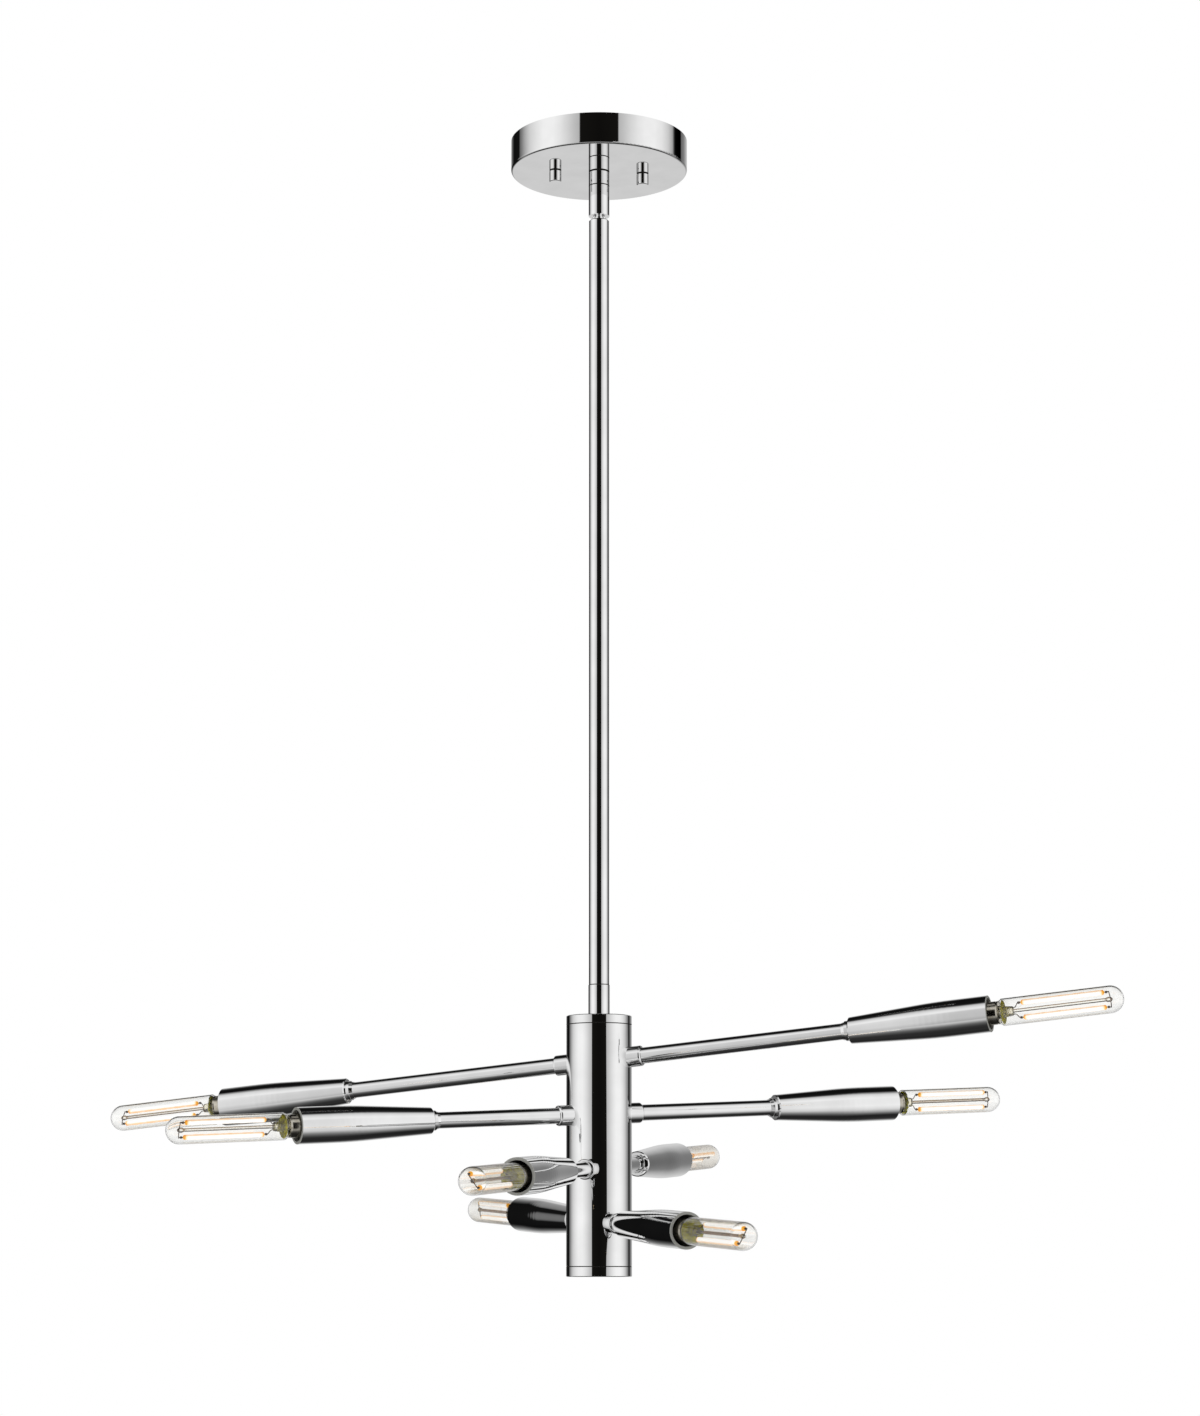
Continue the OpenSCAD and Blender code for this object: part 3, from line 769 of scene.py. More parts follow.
def drawn_tube(path: np.ndarray, radii: np.ndarray | float, sides: int) -> Shell:
    """A tube carried along a path and closed by flat ends.

    Ring i is the circle of radius r_i in the plane across the path's tangent there.
    The plane's axes come from one fixed helper direction that the path never follows.

    Args:
        path: Points of shape (n, 3).
        radii: One radius, or one for each point.
        sides: Points round the tube.

    Returns:
        The closed shell.
    """
    radius = np.broadcast_to(radii, (len(path),))[:, None, None]
    tangent = np.gradient(path, axis=0)
    tangent /= np.linalg.norm(tangent, axis=1, keepdims=True)
    side = np.cross(tangent, np.eye(3)[np.argmin(np.abs(path[-1] - path[0]))])
    side /= np.linalg.norm(side, axis=1, keepdims=True)
    other = np.cross(tangent, side)
    angle = round_angles(sides)[None, :, None]
    circle = side[:, None] * np.cos(angle) + other[:, None] * np.sin(angle)
    start, end = (np.broadcast_to(p, (1, sides, 3)) for p in (path[0], path[-1]))
    return closed_grid(np.concatenate([start, path[:, None] + circle * radius, end]))


def make_piece(
    name: str, shell: Shell, finishes: Sequence[Finish], sharp_deg: float = 35.0
) -> Piece:
    """Puts a shell into a mesh object at the origin.

    Args:
        name: Piece name.
        shell: Points and faces in the model's frame.
        finishes: Finishes in slot order.
        sharp_deg: Edges that turn by more than this stay sharp.

    Returns:
        The new object, smooth-shaded between its sharp edges.
    """
    mesh = bpy.data.meshes.new(name)
    faces = shell.quads.tolist() + shell.triangles.tolist()
    mesh.from_pydata(shell.points.tolist(), [], faces)
    if shell.slots is not None:
        mesh.polygons.foreach_set("material_index", shell.slots.astype(np.int32))
    mesh.shade_smooth()
    mesh.set_sharp_from_angle(angle=sharp_deg * DEGREE)
    for finish in finishes:
        mesh.materials.append(finish.material())
    mesh.update()
    piece = bpy.data.objects.new(name, mesh)
    bpy.context.scene.collection.objects.link(piece)
    return piece


def dress(nodes: Iterable[str], finish: Finish) -> None:
    """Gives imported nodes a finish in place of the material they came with."""
    for node in nodes:
        frame["nodes"][node].material_slots[0].material = finish.material()
        LOG.info("dressed %s with %s", node, finish.name)


def seat(piece: Piece, body: str, slot: str, *replaced: str) -> None:
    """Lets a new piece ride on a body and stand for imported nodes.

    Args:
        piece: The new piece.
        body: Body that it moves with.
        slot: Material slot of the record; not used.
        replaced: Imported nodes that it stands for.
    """
    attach(piece, body)
    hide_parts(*replaced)
    LOG.info("made %s on %s, %d faces", piece.name, body, len(piece.data.polygons))


# Sub-assemblies


class Side(Enum):
    """The two ends of a tier: one arm rises, the other falls."""

    HIGH = "high"
    LOW = "low"


@dataclass(frozen=True)
class HexNut:
    """A plain hexagon nut with turned chamfers outside and at both ends of its bore."""

    corner: float
    thick: float
    bore: float
    chamfer: float = 0.6 * MM
    bore_chamfer: float = 0.4 * MM
    sides: int = 96

    def shell(self, base: float) -> Shell:
        """The nut, whose outside is a hexagon cut by a cone at both faces.

        The hexagon's radius is flat / cos(angle from the flat's middle), and the
        cone's is 0.985 flat at a face and grows by 1.9 times the depth below it.

        Args:
            base: Height of the lower face.

        Returns:
            The closed shell.
        """
        angle, cut, thick = round_angles(self.sides), self.bore_chamfer, self.thick
        flat = self.corner * math.cos(math.pi / 6)
        across = flat / np.cos((angle + np.pi / 6) % (np.pi / 3) - np.pi / 6)
        lift = np.array([0.0, 0.35, 1.0]) * self.chamfer
        heights = np.concatenate([lift, thick - lift[::-1]])
        room = np.minimum(heights, thick - heights)[:, None]
        outer = np.minimum(across, flat * 0.985 + room * 1.9)
        bore = self.bore + np.array([cut, 0.0, 0.0, cut])[:, None] + 0 * angle
        heights = np.concatenate([heights, [thick, thick - cut, cut, 0.0]]) + base
        return turned(0 * heights, heights, self.sides, np.vstack([outer, bore]), looped=True)


@dataclass(frozen=True)
class CeilingPlate:
    """The slotted strap on the ceiling box with its two threaded studs and earth screw."""

    stud_pitch: float = 69.85 * MM
    stud_radius: float = 2.0 * MM
    stud_length: float = 31.3 * MM
    stud_thread: float = 0.7 * MM
    thread_depth: float = 0.3 * MM
    tip_chamfer: float = 0.5 * MM
    strap_thick: float = 2.0 * MM
    nut: HexNut = HexNut(4.6 * MM, 3.2 * MM, 2.05 * MM)
    sides: int = 20
    rings_a_turn: int = 9

    def build_studs(self) -> None:
        """Two studs with rolled threads, each locked by a chamfered nut."""
        tip, edge = -self.stud_length, self.tip_chamfer
        rings = int(self.stud_length / self.stud_thread * self.rings_a_turn)
        run = np.linspace(tip + edge + 0.1 * MM, -0.3 * MM, rings)
        heights = np.concatenate([[tip, tip, tip + edge], run, [0.0, 0.0]])
        radii = np.full(len(heights), self.stud_radius)
        radii[[0, 1, -1]] = [0.0, self.stud_radius - edge, 0.0]
        start = np.clip((heights - tip - edge) / MM, 0, 1)
        weight = start * np.clip((-self.strap_thick - heights) / MM, 0, 1)
        swell = thread_swell(heights, self.sides, self.stud_thread, self.thread_depth, weight)
        rod = turned(radii, heights, self.sides, swell)
        nut = self.nut.shell(-self.strap_thick - self.nut.thick)
        shells = [
            part.moved(np.eye(3), np.array([side * self.stud_pitch / 2, 0, 0]))
            for side in (-1, 1)
            for part in (rod, nut)
        ]
        piece = make_piece("studs_threaded", Shell.joined(shells), [ZincPlate()])
        seat(piece, "ceiling", "zinc_steel", "strap_studs")

    def build(self) -> None:
        """Dresses the strap and earth screw and makes the studs."""
        dress(["mounting_strap"], ZincPlate())
        dress(["ground_screw"], GREEN_SCREW)
        self.build_studs()


@dataclass(frozen=True)
class Canopy:
    """The round ceiling cover, its knobs, and the nut that clamps the swivel to it."""

    height: float = 24.6 * MM
    wall: float = 1.2 * MM
    washer_radius: float = 9.0 * MM
    washer_thick: float = 1.0 * MM
    washer_hole: float = 5.2 * MM
    washer_edge: float = 0.12 * MM
    nut_gap: float = 0.05 * MM
    nut: HexNut = HexNut(8.1 * MM, 5.0 * MM, 4.92 * MM, 0.9 * MM)

    def build_nut(self) -> None:
        """The lock nut and its washer, inside the canopy."""
        floor, edge, thick = -self.height + self.wall, self.washer_edge, self.washer_thick
        hole, rim = self.washer_hole, self.washer_radius
        half = [hole + edge, rim - edge, rim]
        radii = np.array(half + half[::-1] + [hole, hole])
        lift = np.array([0, 0, edge, thick - edge, thick, thick, thick - edge, edge])
        washer = turned(radii, lift + floor, self.nut.sides, looped=True)
        nut = self.nut.shell(floor + thick + self.nut_gap)
        piece = make_piece("canopy_lock_nut", Shell.joined([washer, nut]), [TURNED_BRASS])
        seat(piece, "ceiling", "brass", "canopy_nut")

    def build(self) -> None:
        """Dresses the cover and knobs and makes the lock nut."""
        dress(["canopy"], ChromePlate())
        dress(["canopy_knob_left", "canopy_knob_right"], SeamPlate())
        self.build_nut()


@dataclass(frozen=True)
class HangingLine:
    """Everything on the vertical axis: swivel, rod, coupler and column."""

    plated: tuple[str, ...] = ("swivel_ball", "downrod", "column_tube", "arm_ferrules")
    seamed: tuple[str, ...] = (
        "swivel_collar", "swivel_socket", "rod_coupler", "column_top_cap", "column_bottom_cap",
    )
    brass: tuple[str, ...] = ("swivel_seat", "column_nipple", "arm_nuts")

    def build(self) -> None:
        """Dresses the plated and the brass parts."""
        dress(self.plated, ChromePlate())
        dress(self.seamed, SeamPlate())
        dress(self.brass, TURNED_BRASS)


@dataclass(frozen=True)
class Arm:
    """One arm of a tier with its cup, placed by the joint that its bulb turns on."""

    tier: int
    side: Side
    cup_length: float = 108.0 * MM

    @property
    def label(self) -> str:
        """Name of the arm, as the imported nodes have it."""
        return f"{self.tier}_{self.side.value}"

    @property
    def joint(self) -> dict[str, Any]:
        """The bulb's joint: a point in the cup's mouth, and the outward direction."""
        name = f"bulb_{self.label}_turn"
        return next(joint for joint in frame["joints"] if joint["name"] == name)

    @property
    def outward(self) -> np.ndarray:
        """Unit vector along the arm, away from the column."""
        axis = np.array(self.joint["axis"], float)
        return axis / np.linalg.norm(axis)

    @property
    def basis(self) -> np.ndarray:
        """Columns are the arm's own axes: X down, Y level, Z outwards along the arm."""
        level = np.cross([0.0, 0.0, 1.0], self.outward)
        level /= np.linalg.norm(level)
        return np.column_stack([np.cross(level, self.outward), level, self.outward])

    def point(self, lift: float) -> np.ndarray:
        """The point on the arm's axis that lies lift outwards from the cup's base."""
        return np.array(self.joint["pos_m"], float) + self.outward * (lift - self.cup_length)

    def lie(self, lift: float = 0.0) -> Lie:
        """The arm's direction, +Z outwards, for a pattern from that point on."""
        x, y, z = self.outward
        return Lie(self.label, tuple(self.point(lift)), math.atan2(y, x), math.acos(z))

    def build(self) -> None:
        """Dresses the arm's tube and cup, with marks round their own axis."""
        dress([f"arm_{self.label}"], ChromePlate(self.lie()))
        dress([f"cup_{self.label}"], CupPlate(self.lie()))


@dataclass(frozen=True)
class Bulb:
    """A tubular filament bulb with a candelabra cap, screwed into one arm's cup.

    Each shape is made about +Z, the cap from the cup's base and the rest from the foot
    of the glass, and build() carries it onto the arm.
    """

    arm: Arm
    filament_turn_deg: float
    collar_show: float = 7.5 * MM
    collar_radius: float = 8.75 * MM
    collar_back: float = 88.075 * MM
    cap_radius: float = 5.93 * MM
    cap_length: float = 18.0 * MM
    cap_pitch: float = 2.54 * MM
    cap_depth: float = 0.55 * MM
    cap_run_out: float = 1.2 * MM
    contact_radius: float = 2.4 * MM
    insulator_radius: float = 4.4 * MM
    disc_radius: float = 9.1 * MM
    disc_rise: float = 2.5 * MM
    stem_length: float = 10.8 * MM
    stem_foot: float = 5.2 * MM
    stem_top: float = 3.6 * MM
    rod_radius: float = 1.3 * MM
    bead_radius: float = 1.9 * MM
    stick_start: float = 17.0 * MM
    stick_length: float = 63.0 * MM
    stick_radius: float = 2.0 * MM
    stick_round: float = 1.1 * MM
    stick_pitch: float = 11.9 * MM
    pin_length: float = 3.2 * MM
    wire_radius: float = 0.34 * MM
    cross_radius: float = 0.36 * MM
    crimp_radius: float = 0.95 * MM

    def cap(self) -> Shell:
        """The cap: contact, vitrite, rolled thread and drawn collar as one turned shell."""
        back, top = self.collar_back, self.arm.cup_length + self.collar_show
        tip, sides = back - self.cap_length, 48
        r, c, contact = self.cap_radius, self.collar_radius, self.contact_radius
        head = [
            (0.0, tip), (contact * 0.7, tip + 0.05 * MM), (contact, tip + 0.5 * MM),
            (contact, tip + 1.0 * MM), (self.insulator_radius, tip + 2.0 * MM),
            (r - 0.5 * MM, tip + 3.7 * MM), (r - 0.3 * MM, tip + 4.0 * MM),
        ]
        tail = [
            (r, back), (c - 0.6 * MM, back), (c - 0.2 * MM, back + 0.2 * MM),
            (c, back + 0.6 * MM), (c, top - 2.2 * MM), (c - 0.18 * MM, top - 1.9 * MM),
            (c - 0.18 * MM, top - 1.4 * MM), (c, top - 1.1 * MM), (c, top - 0.3 * MM),
            (c - 0.3 * MM, top), (0.0, top),
        ]
        run = np.linspace(tip + 4.3 * MM, back - 0.6 * MM, 110)
        radii, heights = np.vstack([head, np.column_stack([0 * run + r, run]), tail]).T
        weight = np.clip((heights - run[0]) / self.cap_run_out, 0, 1)
        weight *= np.clip((run[-1] - heights) / self.cap_run_out, 0, 1)
        swell = thread_swell(heights, sides, self.cap_pitch, self.cap_depth, weight)
        shell = turned(radii, heights, sides, swell)
        rows = np.repeat(np.arange(1, len(radii) - 2), sides)
        vitrite = (rows >= 3) & (rows < 6)
        return replace(shell, slots=np.concatenate([vitrite, np.zeros(len(shell.triangles))]))

    def disc(self) -> Shell:
        """The cement disc behind the stem: slightly domed, with a rough rounded rim."""
        angle = round_angles(64)
        radii = np.array([0.0, 0.55, 0.94, 1.0, 1.0, 0.94, 0.55, 0.0]) * self.disc_radius
        heights = np.array([0.0, 0.0, 0.05, 0.3, 0.7, 0.95, 1.0, 1.0]) * MM + self.disc_rise
        ripple = 0.12 * MM * np.sin(7 * angle + 1.3) * np.sin(3 * angle)
        swell = ripple * (radii[:, None] > 0.9 * self.disc_radius)
        return turned(radii, heights, len(angle), swell - abs(swell))

    def stem(self) -> Shell:
        """The flared stem, pressed flat at its top, where the leads come through.

        The section goes from a circle at the foot to an ellipse at the pinch: the
        radius r grows by r k (cos 2a - 1) / 2, where k rises from 0 to 0.2.
        """
        angle, t = round_angles(40), np.linspace(0, 1, 26)
        flare = self.stem_foot + (self.stem_top - self.stem_foot) * t**0.7
        rise = t * (self.stem_length - 0.6 * MM)
        radii = np.concatenate([[0.0], flare, [self.stem_top * 0.82, 0.0]])
        heights = np.concatenate([[0.0], rise, [self.stem_length] * 2])
        pinch = np.clip((heights / self.stem_length - 0.25) / 0.5, 0, 1) * 0.2
        swell = (radii * pinch)[:, None] * (np.cos(2 * angle) - 1) * 0.5
        return turned(radii, heights, len(angle), swell)

    def rod(self) -> Shell:
        """The glass rod that carries the far ends of the sticks, with its melted bead.

        The bead is a half ellipse on each side of its widest place, 0.42 of its length.
        """
        end = self.stick_start + self.stick_length + self.pin_length
        start, neck, count = self.stem_length - 1.0 * MM, end - 3.0 * MM, 24
        t = np.linspace(0, 1, 22)
        bulge = np.sqrt(np.maximum(1 - ((t - 0.42) / 0.58) ** 2, 0)) * self.bead_radius
        bead = np.maximum(bulge, self.rod_radius * np.clip(1 - t / 0.3, 0, 1))
        straight = np.linspace(start + 0.2 * MM, neck, count)
        heights = np.concatenate([[start], straight, neck + t[1:] * (end + 1.9 * MM - neck)])
        radii = np.concatenate([[0.0], np.full(count, self.rod_radius), bead[1:-1], [0.0]])
        return turned(radii, heights, 32)

    def sticks(self) -> Shell:
        """Two coated sticks, rounded at the ends and a little uneven along their length.

        At a share t of the length the radius is scaled by 1 + 0.03 sin 31t + 0.02 sin 73t.
        """
        t = np.linspace(0, 1, 60)
        z = self.stick_start + t * self.stick_length
        edge = np.clip(np.minimum(t, 1 - t) * self.stick_length / self.stick_round, 0, 1)
        ends = np.sqrt(np.clip(1 - (1 - edge) ** 2, 0.12, 1))
        shells = []
        for side in (-1, 1):
            lumps = 1 + 0.03 * np.sin(31 * t + side) + 0.02 * np.sin(73 * t + 2 * side)
            path = np.column_stack([0 * z + side * self.stick_pitch / 2, 0 * z, z])
            shells.append(drawn_tube(path, self.stick_radius * 0.95 * ends * lumps, 24))
        return Shell.joined(shells)

    def wires(self) -> Shell:
        """Leads from the stem, crimps at the sticks' ends, and the wire across the tip.

        The cross wire bows by a cosine, and a crimp's radius thins by the cube of the
        distance from its middle.
        """
        half = self.stick_pitch / 2
        near, far = self.stick_start, self.stick_start + self.stick_length
        cross = far + self.pin_length
        lead = (
            (2.4 * MM, 0, self.stem_length - 2.5 * MM), (2.6 * MM, 0, self.stem_length),
            (2.9 * MM, 0, near - 4.6 * MM), (half - 1.6 * MM, 0, near - 3.6 * MM),
            (half, 0, near - 2.2 * MM), (half, 0, near + 0.4 * MM),
        )
        pin = (
            (half, 0, far - 0.4 * MM), (half, 0, far + 1.2 * MM),
            (half + 0.2 * MM, 0, cross - 0.6 * MM), (half + 0.3 * MM, 0, cross),
        )
        crimp = self.crimp_radius * (1 - 0.25 * np.abs(np.linspace(-1, 1, 9)) ** 3)
        shells = []
        for side in (-1, 1):
            for corners, points in ((lead, 40), (pin, 20)):
                path = smooth_line(np.array(corners) * (side, 1, 1), points)
                shells.append(drawn_tube(path, self.wire_radius, 12))
            for low, high in ((near - 2.3 * MM, near - 0.5 * MM), (far + 0.5 * MM, far + 2.2 * MM)):
                z = np.linspace(low, high, len(crimp))
                path = np.column_stack([0 * z + side * half, 0 * z, z])
                shells.append(drawn_tube(path, crimp, 14))
        x = np.linspace(-half - 0.6 * MM, half + 0.6 * MM, 30)
        bow = 0.35 * MM * np.cos(np.pi * x / (2 * half))
        shells.append(drawn_tube(np.column_stack([x, 0 * x, cross + bow]), self.cross_radius, 12))
        return Shell.joined(shells)

    def mark_sticks(self, piece: Piece, shell: Shell) -> None:
        """Gives the sticks "along", their share of the length, and "flank".

        The flank is the distance from the stick's axis, measured in the plane of both
        sticks, over the stick's radius.

        Args:
            piece: The sticks' piece.
            shell: Their shell, about +Z.
        """
        x, _, z = shell.points.T
        flank = np.abs(np.abs(x) - self.stick_pitch / 2) / self.stick_radius
        along = (z - self.stick_start) / self.stick_length
        for name, values in (("along", along), ("flank", flank)):
            mark = piece.data.attributes.new(name, "FLOAT", "POINT")
            mark.data.foreach_set("value", np.clip(values, 0, 1).astype(np.float32))

    def build(self) -> None:
        """Dresses the glass, makes the cap, and makes the mount at the filaments' turn."""
        arm, body, turn = self.arm, f"bulb_{self.arm.label}", self.filament_turn_deg
        foot = arm.cup_length + self.collar_show
        dress([f"{body}_glass"], ClearGlass(arm.lie(foot)))
        plating = replace(NICKEL_PLATE, name=f"nickel_plate_{arm.label}", lie=arm.lie())
        cap = self.cap().moved(arm.basis, arm.point(0.0))
        cap = make_piece(f"{body}_screw_cap", cap, (plating, VITRITE))
        seat(cap, body, "bulb_nickel", f"{body}_base")
        for name, shell, finish, turn_deg, sharp_deg in (
            ("seal_disc", self.disc(), SEAL_CEMENT, 0.0, 35.0),
            ("stem", self.stem(), STEM_GLASS, turn, 35.0),
            ("glass_rod", self.rod(), RodGlass(), turn, 35.0),
            ("filament_sticks", self.sticks(), FilamentCoat(), turn, 60.0),
            ("lead_wires", self.wires(), LEAD_WIRE, turn, 35.0),
        ):
            sine, cosine = math.sin(turn_deg * DEGREE), math.cos(turn_deg * DEGREE)
            spin = np.array([[cosine, -sine, 0], [sine, cosine, 0], [0, 0, 1]])
            placed = shell.moved(arm.basis @ spin, arm.point(foot))
            piece = make_piece(f"{body}_{name}", placed, [finish], sharp_deg)
            if name == "filament_sticks":
                self.mark_sticks(piece, shell)
            seat(piece, body, "filament", f"{body}_filaments")


@dataclass(frozen=True)
class ArmStack:
    """The four tiers of arms, and the black sockets inside their cups.

    Each bulb stops at its own turn, so its filaments stand at an angle of their own.
    """

    high_filaments_deg: tuple[float, ...] = (26.0, 7.0, 65.0, -12.0)
    low_filaments_deg: tuple[float, ...] = (33.0, -27.0, 35.0, -27.0)

    def build(self) -> None:
        """Dresses the sockets and builds each arm with its bulb."""
        dress(["lamp_sockets"], PHENOLIC)
        for side, turns in zip(Side, (self.high_filaments_deg, self.low_filaments_deg)):
            for tier, turn in enumerate(turns, 1):
                arm = Arm(tier, side)
                arm.build()
                Bulb(arm, turn).build()


# Studio


@dataclass(frozen=True)
class StudioFloor(Finish):
    """Pale seamless paper: matt, nearly white, lost in the background at its far edge."""

    name: str = "studio_paper_pale"
    colour: str = "#F4F4F3"
    fibre_colour: str = "#EFEFEE"
    fibre: Grain = Grain(40.0, 3.0)
    fade: Pair = (1.4, 4.5)

    def build(self, add: Adder) -> Socket:
        """Builds the paper: fine fibre tone, and white light where the sweep ends.

        Args:
            add: Adds a node to the material's tree.

        Returns:
            The surface socket.
        """
        tones = {"Factor": self.fibre.over(add), "A": self.colour, "B": self.fibre_colour}
        matt = {"Base Color": add("Mix", tones, **COLOURS), "Roughness": 0.9}
        paper = add("BsdfPrincipled", matt | {"Specular IOR Level": 0.1})
        level = add("VectorMath", (UPRIGHT.coordinates(add), (1, 1, 0)), operation="MULTIPLY")
        away = add("VectorMath", (level,), operation="LENGTH")
        far = add("MapRange", (away, *self.fade))
        return add("MixShader", (far, paper, add("Emission", (WHITE,))))


@dataclass(frozen=True)
class Studio:
    """A white room with a dark camera side: what polished metal needs to look like metal.

    Mirrors see white walls, a dark slot on the side where the camera stands, dark gaps
    behind that draw a thin line along every outline, a pale strip between the gaps, and
    a dark ceiling. The left gap is the wider one, and the right one widens higher up.
    Light bent upwards by glass sees that ceiling too, which draws the upper outlines of
    tubes. Everything else is lit by plain white. Stops and spans are in degrees: those of
    the walls and the upper gap from the slot backwards, the others from straight down.
    """

    camera_azimuth_deg: float = -96.638
    camera_distance: float = 2.58941
    camera_height: float = -0.90321
    camera_pitch_deg: float = 5.9233
    lens_mm: float = 85.132
    sensor_mm: float = 36.0
    shift: Pair = (0.00066, 0.16)
    far_clip: float = 100.0
    floor_height: float = -2.0
    floor_thick: float = 0.02
    floor_radius: float = 30.0
    lamp_place: tuple[float, ...] = (-1.6, -1.7, 1.2)
    lamp_aim: tuple[float, ...] = (0.0, 0.0, -0.8)
    lamp_size: float = 1.6
    lamp_watts: float = 14.0
    near_stops: Stops = (
        (0.0, "#100F0E"), (24.6, "#151412"), (25.8, "#BFBFBF"), (33.0, "#CECECE"),
        (42.0, "#E3E3E3"), (52.0, "#F4F4F4"), (62.0, "#FEFEFE"), (78.0, "#FEFEFE"),
        (90.0, "#F0F0F0"),
    )
    left_stops: Stops = (
        (103.0, "#D8D8D8"), (113.0, "#B2B2B2"), (121.0, "#868686"), (126.5, "#6A6A6A"),
        (129.0, "#141414"), (149.0, "#101010"), (154.0, "#3E3E3E"), (161.0, "#6C6C6C"),
        (168.0, "#9C9C9C"), (174.0, "#D4D4D4"), (180.0, "#D4D4D4"),
    )
    right_stops: Stops = (
        (103.0, "#D2D2D2"), (113.0, "#A4A4A4"), (121.0, "#787878"), (124.5, "#606060"),
        (126.5, "#101010"), (134.5, "#101010"), (137.0, "#6C6C6C"), (147.0, "#828282"),
        (156.0, "#ABABAB"), (165.0, "#C2C2C2"), (174.0, "#D4D4D4"), (180.0, "#D4D4D4"),
    )
    upper_stops: Stops = (
        (0.0, WHITE), (112.0, WHITE), (116.0, "#606060"), (119.0, "#101010"),
        (134.5, "#101010"), (137.0, WHITE), (180.0, WHITE),
    )
    front_stops: Stops = (
        (-90.0, "#2C2C2C"), (-74.0, "#343434"), (-64.0, "#4E4E4E"), (-56.0, "#646464"),
        (-48.0, "#8A8A8A"), (-40.0, "#B8B8B8"), (-32.0, "#DCDCDC"), (-22.0, "#F0F0F0"),
        (-10.0, WHITE), (34.0, "#FAFAFA"), (46.0, "#ECECEC"), (55.0, "#D8D8D8"),
        (60.0, "#BEBEBE"), (65.0, "#484848"), (70.0, "#141414"), (75.0, "#141414"),
        (80.0, "#949494"), (90.0, "#B4B4B4"),
    )
    back_stops: Stops = (
        (-90.0, "#242424"), (-74.0, "#2E2E2E"), (-58.0, "#222222"), (-48.0, "#303030"),
        (-38.0, "#585858"), (-28.0, "#D0D0D0"), (-20.0, WHITE), (28.0, WHITE),
        (36.0, "#707070"), (44.0, "#2C2C2C"), (54.0, "#0E0E0E"), (75.0, "#141414"),
        (80.0, "#949494"), (90.0, "#B4B4B4"),
    )
    through_stops: Stops = (
        (-90.0, WHITE), (17.0, WHITE), (23.0, "#4A463F"), (30.0, "#1E1C19"),
        (60.0, "#1E1C19"), (75.0, "#949494"), (90.0, WHITE),
    )
    walls_span: tuple[float, ...] = (-36, -28, 28, 38)
    upper_span: tuple[float, ...] = (5, 8, 26, 34)

    @property
    def camera_way(self) -> Vector:
        """Level direction from the lamp's axis towards the camera."""
        azimuth = self.camera_azimuth_deg * DEGREE
        return Vector((math.cos(azimuth), math.sin(azimuth), 0.0))

    def build_camera(self) -> None:
        """The camera stands low and looks slightly up, shifted as the photograph is."""
        data = bpy.data.cameras.new("studio_camera")
        data.sensor_width = self.sensor_mm
        data.lens = self.lens_mm
        data.shift_x, data.shift_y = self.shift
        data.clip_end = self.far_clip
        camera = bpy.data.objects.new("studio_camera", data)
        camera.location = self.camera_way * self.camera_distance
        camera.location.z = self.camera_height
        pitch = self.camera_pitch_deg * DEGREE
        look = -self.camera_way * math.cos(pitch)
        look.z = math.sin(pitch)
        camera.rotation_mode = "QUATERNION"
        camera.rotation_quaternion = look.to_track_quat("-Z", "Y")
        bpy.context.scene.collection.objects.link(camera)
        bpy.context.scene.camera = camera

    def mirrored_room(self, add: Adder, way: Socket, height: Socket) -> Socket:
        """The room that mirrors see, by direction.

        With the direction d and the level direction c of the dark slot, the wall angle
        is acos(d.c / |d level|). Front and back lie over the height angle, and the
        walls and the upper gap multiply them, each within its own span of heights.

        Args:
            add: Adds a node to the world's tree.
            way: Direction of the ray.
            height: Its angle above the level, in radians.

        Returns:
            The colour socket.
        """
        ahead = tuple(self.camera_way)
        level = add("VectorMath", (way, (1, 1, 0)), operation="MULTIPLY")
        unit = add("VectorMath", (level,), operation="NORMALIZE")
        facing, rightness, towards = (
            add("VectorMath", pair, operation="DOT_PRODUCT")
            for pair in ((unit, ahead), (unit, (-ahead[1], ahead[0], 0.0)), (way, ahead))
        )
        turn = add("Math", (facing,), operation="ARCCOSINE")
        on_right = add("MapRange", (rightness, -0.05, 0.05))
        on_front = add("MapRange", (towards, -0.15, 0.15))
        left, right, gap, back, front = (
            tone_over(add, angle, stops, DEGREE)
            for angle, stops in (
                (turn, self.near_stops + self.left_stops),
                (turn, self.near_stops + self.right_stops),
                (turn, self.upper_stops),
                (height, self.back_stops),
                (height, self.front_stops),
            )
        )
        room, walls, upper = (
            add("Mix", {"Factor": share, "A": first, "B": second}, **COLOURS)
            for share, first, second in (
                (on_front, back, front), (on_right, left, right), (on_right, WHITE, gap)
            )
        )
        for span, layer in ((self.walls_span, walls), (self.upper_span, upper)):
            mix = {"Factor": band(add, height, span, DEGREE), "A": room, "B": layer}
            room = add("Mix", mix, **COLOURS, blend_type="MULTIPLY")
        return room

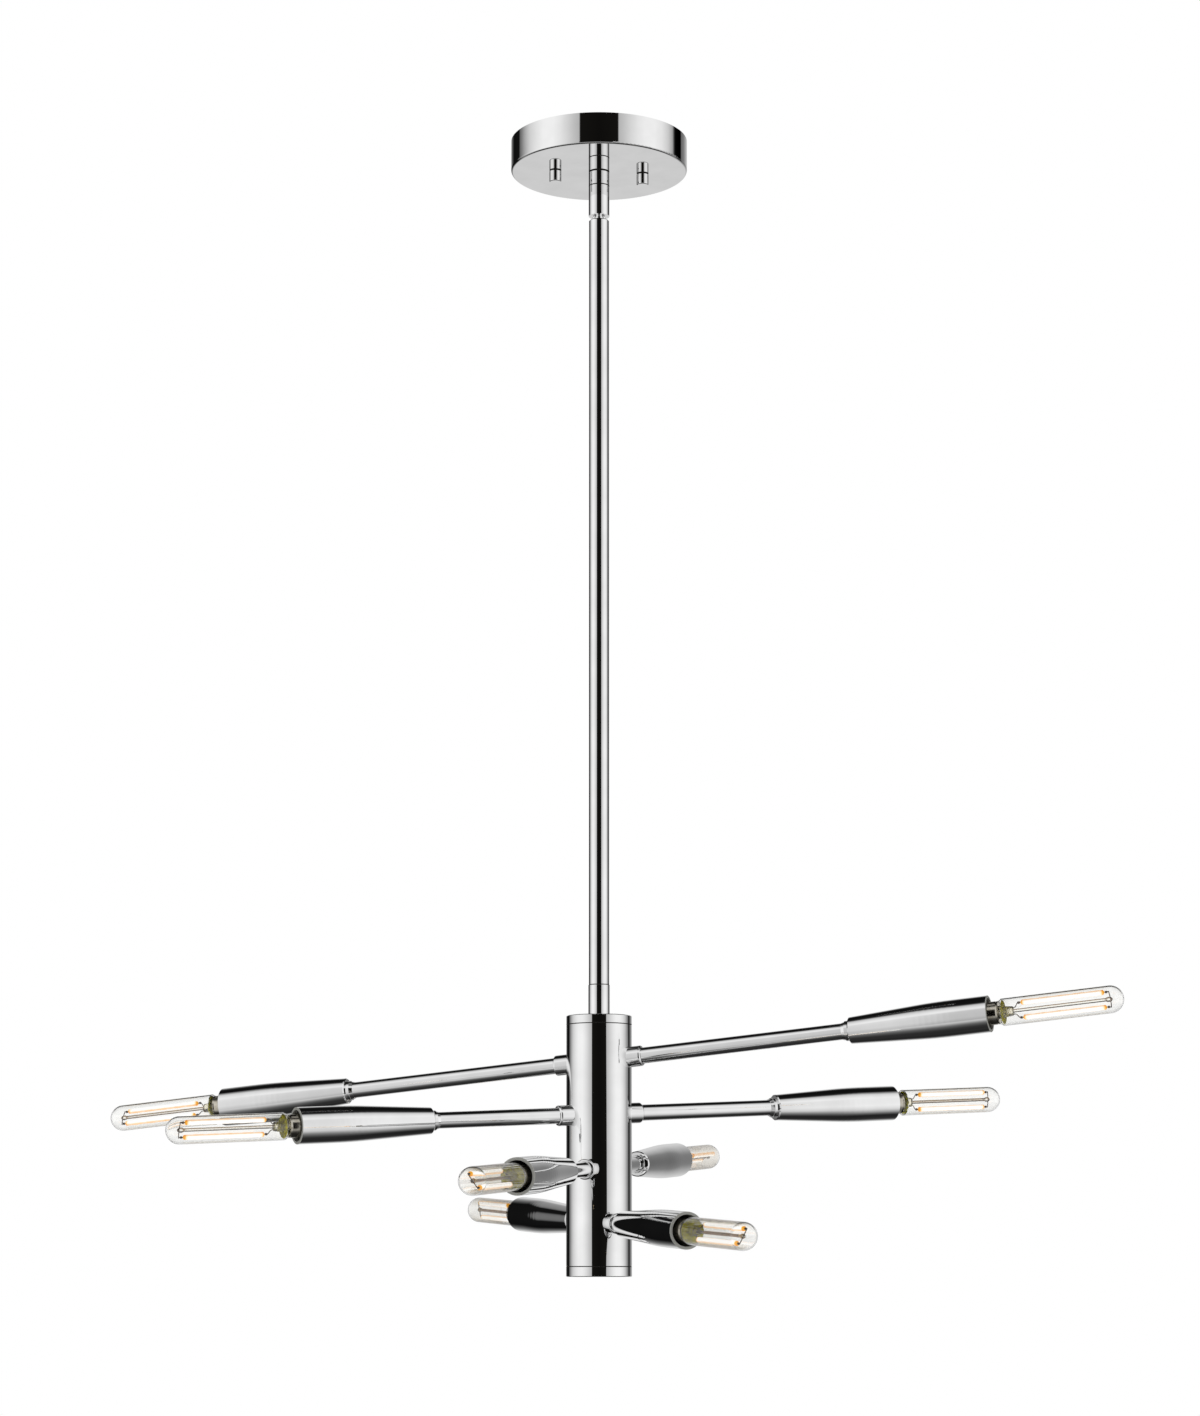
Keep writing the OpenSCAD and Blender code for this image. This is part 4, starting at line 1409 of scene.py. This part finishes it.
    def build_world(self) -> None:
        """The room as light: mirrors see all of it, glass its ceiling, the rest white.

        The height angle is asin(d.z) for a direction d. The room isn't sampled as a
        lamp, because such samples see its plain white and speckle the dark mirrors.
        """
        world = bpy.data.worlds.new("studio_room")
        world.cycles.sampling_method = "NONE"
        bpy.context.scene.world = world
        world.use_nodes = True
        world.node_tree.nodes.clear()
        add = partial(add_node, world.node_tree)
        way = add("TexCoord", out="Generated")
        height = add("Math", (add("SeparateXYZ", (way,), "Z"),), operation="ARCSINE")
        rays = add("LightPath").node.outputs
        glossy, bent = rays["Is Glossy Ray"], rays["Is Transmission Ray"]
        ceiling = tone_over(add, height, self.through_stops, DEGREE)
        glass = add("Mix", {"Factor": bent, "A": WHITE, "B": ceiling}, **COLOURS)
        plain, mirror = (
            add("Background", (light,)) for light in (glass, self.mirrored_room(add, way, height))
        )
        share = add("Math", (glossy, bent), operation="SUBTRACT", use_clamp=True)
        add("OutputWorld", {"Surface": add("MixShader", (share, plain, mirror))})

    def build_floor(self) -> None:
        """A round sheet of pale paper on the floor, well below the hanging lamp."""
        rings = self.floor_radius * np.array([0.0, 1.0, 1.0, 0.4, 0.15, 0.05, 0.02, 0.0])
        sunk = self.floor_thick * np.array([1, 1, 0, 0, 0, 0, 0, 0])
        floor = make_piece(
            "studio_floor", turned(rings, self.floor_height - sunk, 96), [StudioFloor()]
        )
        floor.visible_glossy = False

    def build_lamps(self) -> None:
        """One broad soft lamp high on the left, kept out of the mirrors."""
        data = bpy.data.lights.new("soft_key", "AREA")
        data.shape = "DISK"
        data.size = self.lamp_size
        data.energy = self.lamp_watts
        lamp = bpy.data.objects.new("soft_key", data)
        lamp.location = self.lamp_place
        aim = Vector(self.lamp_aim) - lamp.location
        lamp.rotation_mode = "QUATERNION"
        lamp.rotation_quaternion = aim.to_track_quat("-Z", "Y")
        lamp.visible_glossy = False
        lamp.visible_transmission = False
        bpy.context.scene.collection.objects.link(lamp)

    def build(self) -> None:
        """Sets up camera, room, floor and lamp, and plain colour handling."""
        bpy.context.scene.view_settings.view_transform = "Standard"
        self.build_camera()
        self.build_world()
        self.build_floor()
        self.build_lamps()


def corners(pair: tuple[Vector, Vector]) -> list[list[float]]:
    """Two corners as plain lists of numbers."""
    return [[float(x) for x in corner] for corner in pair]


def main() -> None:
    """Builds the studio and every sub-assembly."""
    logging.basicConfig(level=logging.INFO, format="%(message)s")
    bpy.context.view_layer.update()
    for part in (Studio(), CeilingPlate(), Canopy(), HangingLine(), ArmStack()):
        LOG.info("building %s", type(part).__name__)
        part.build()


if __name__ == "__main__":
    main()
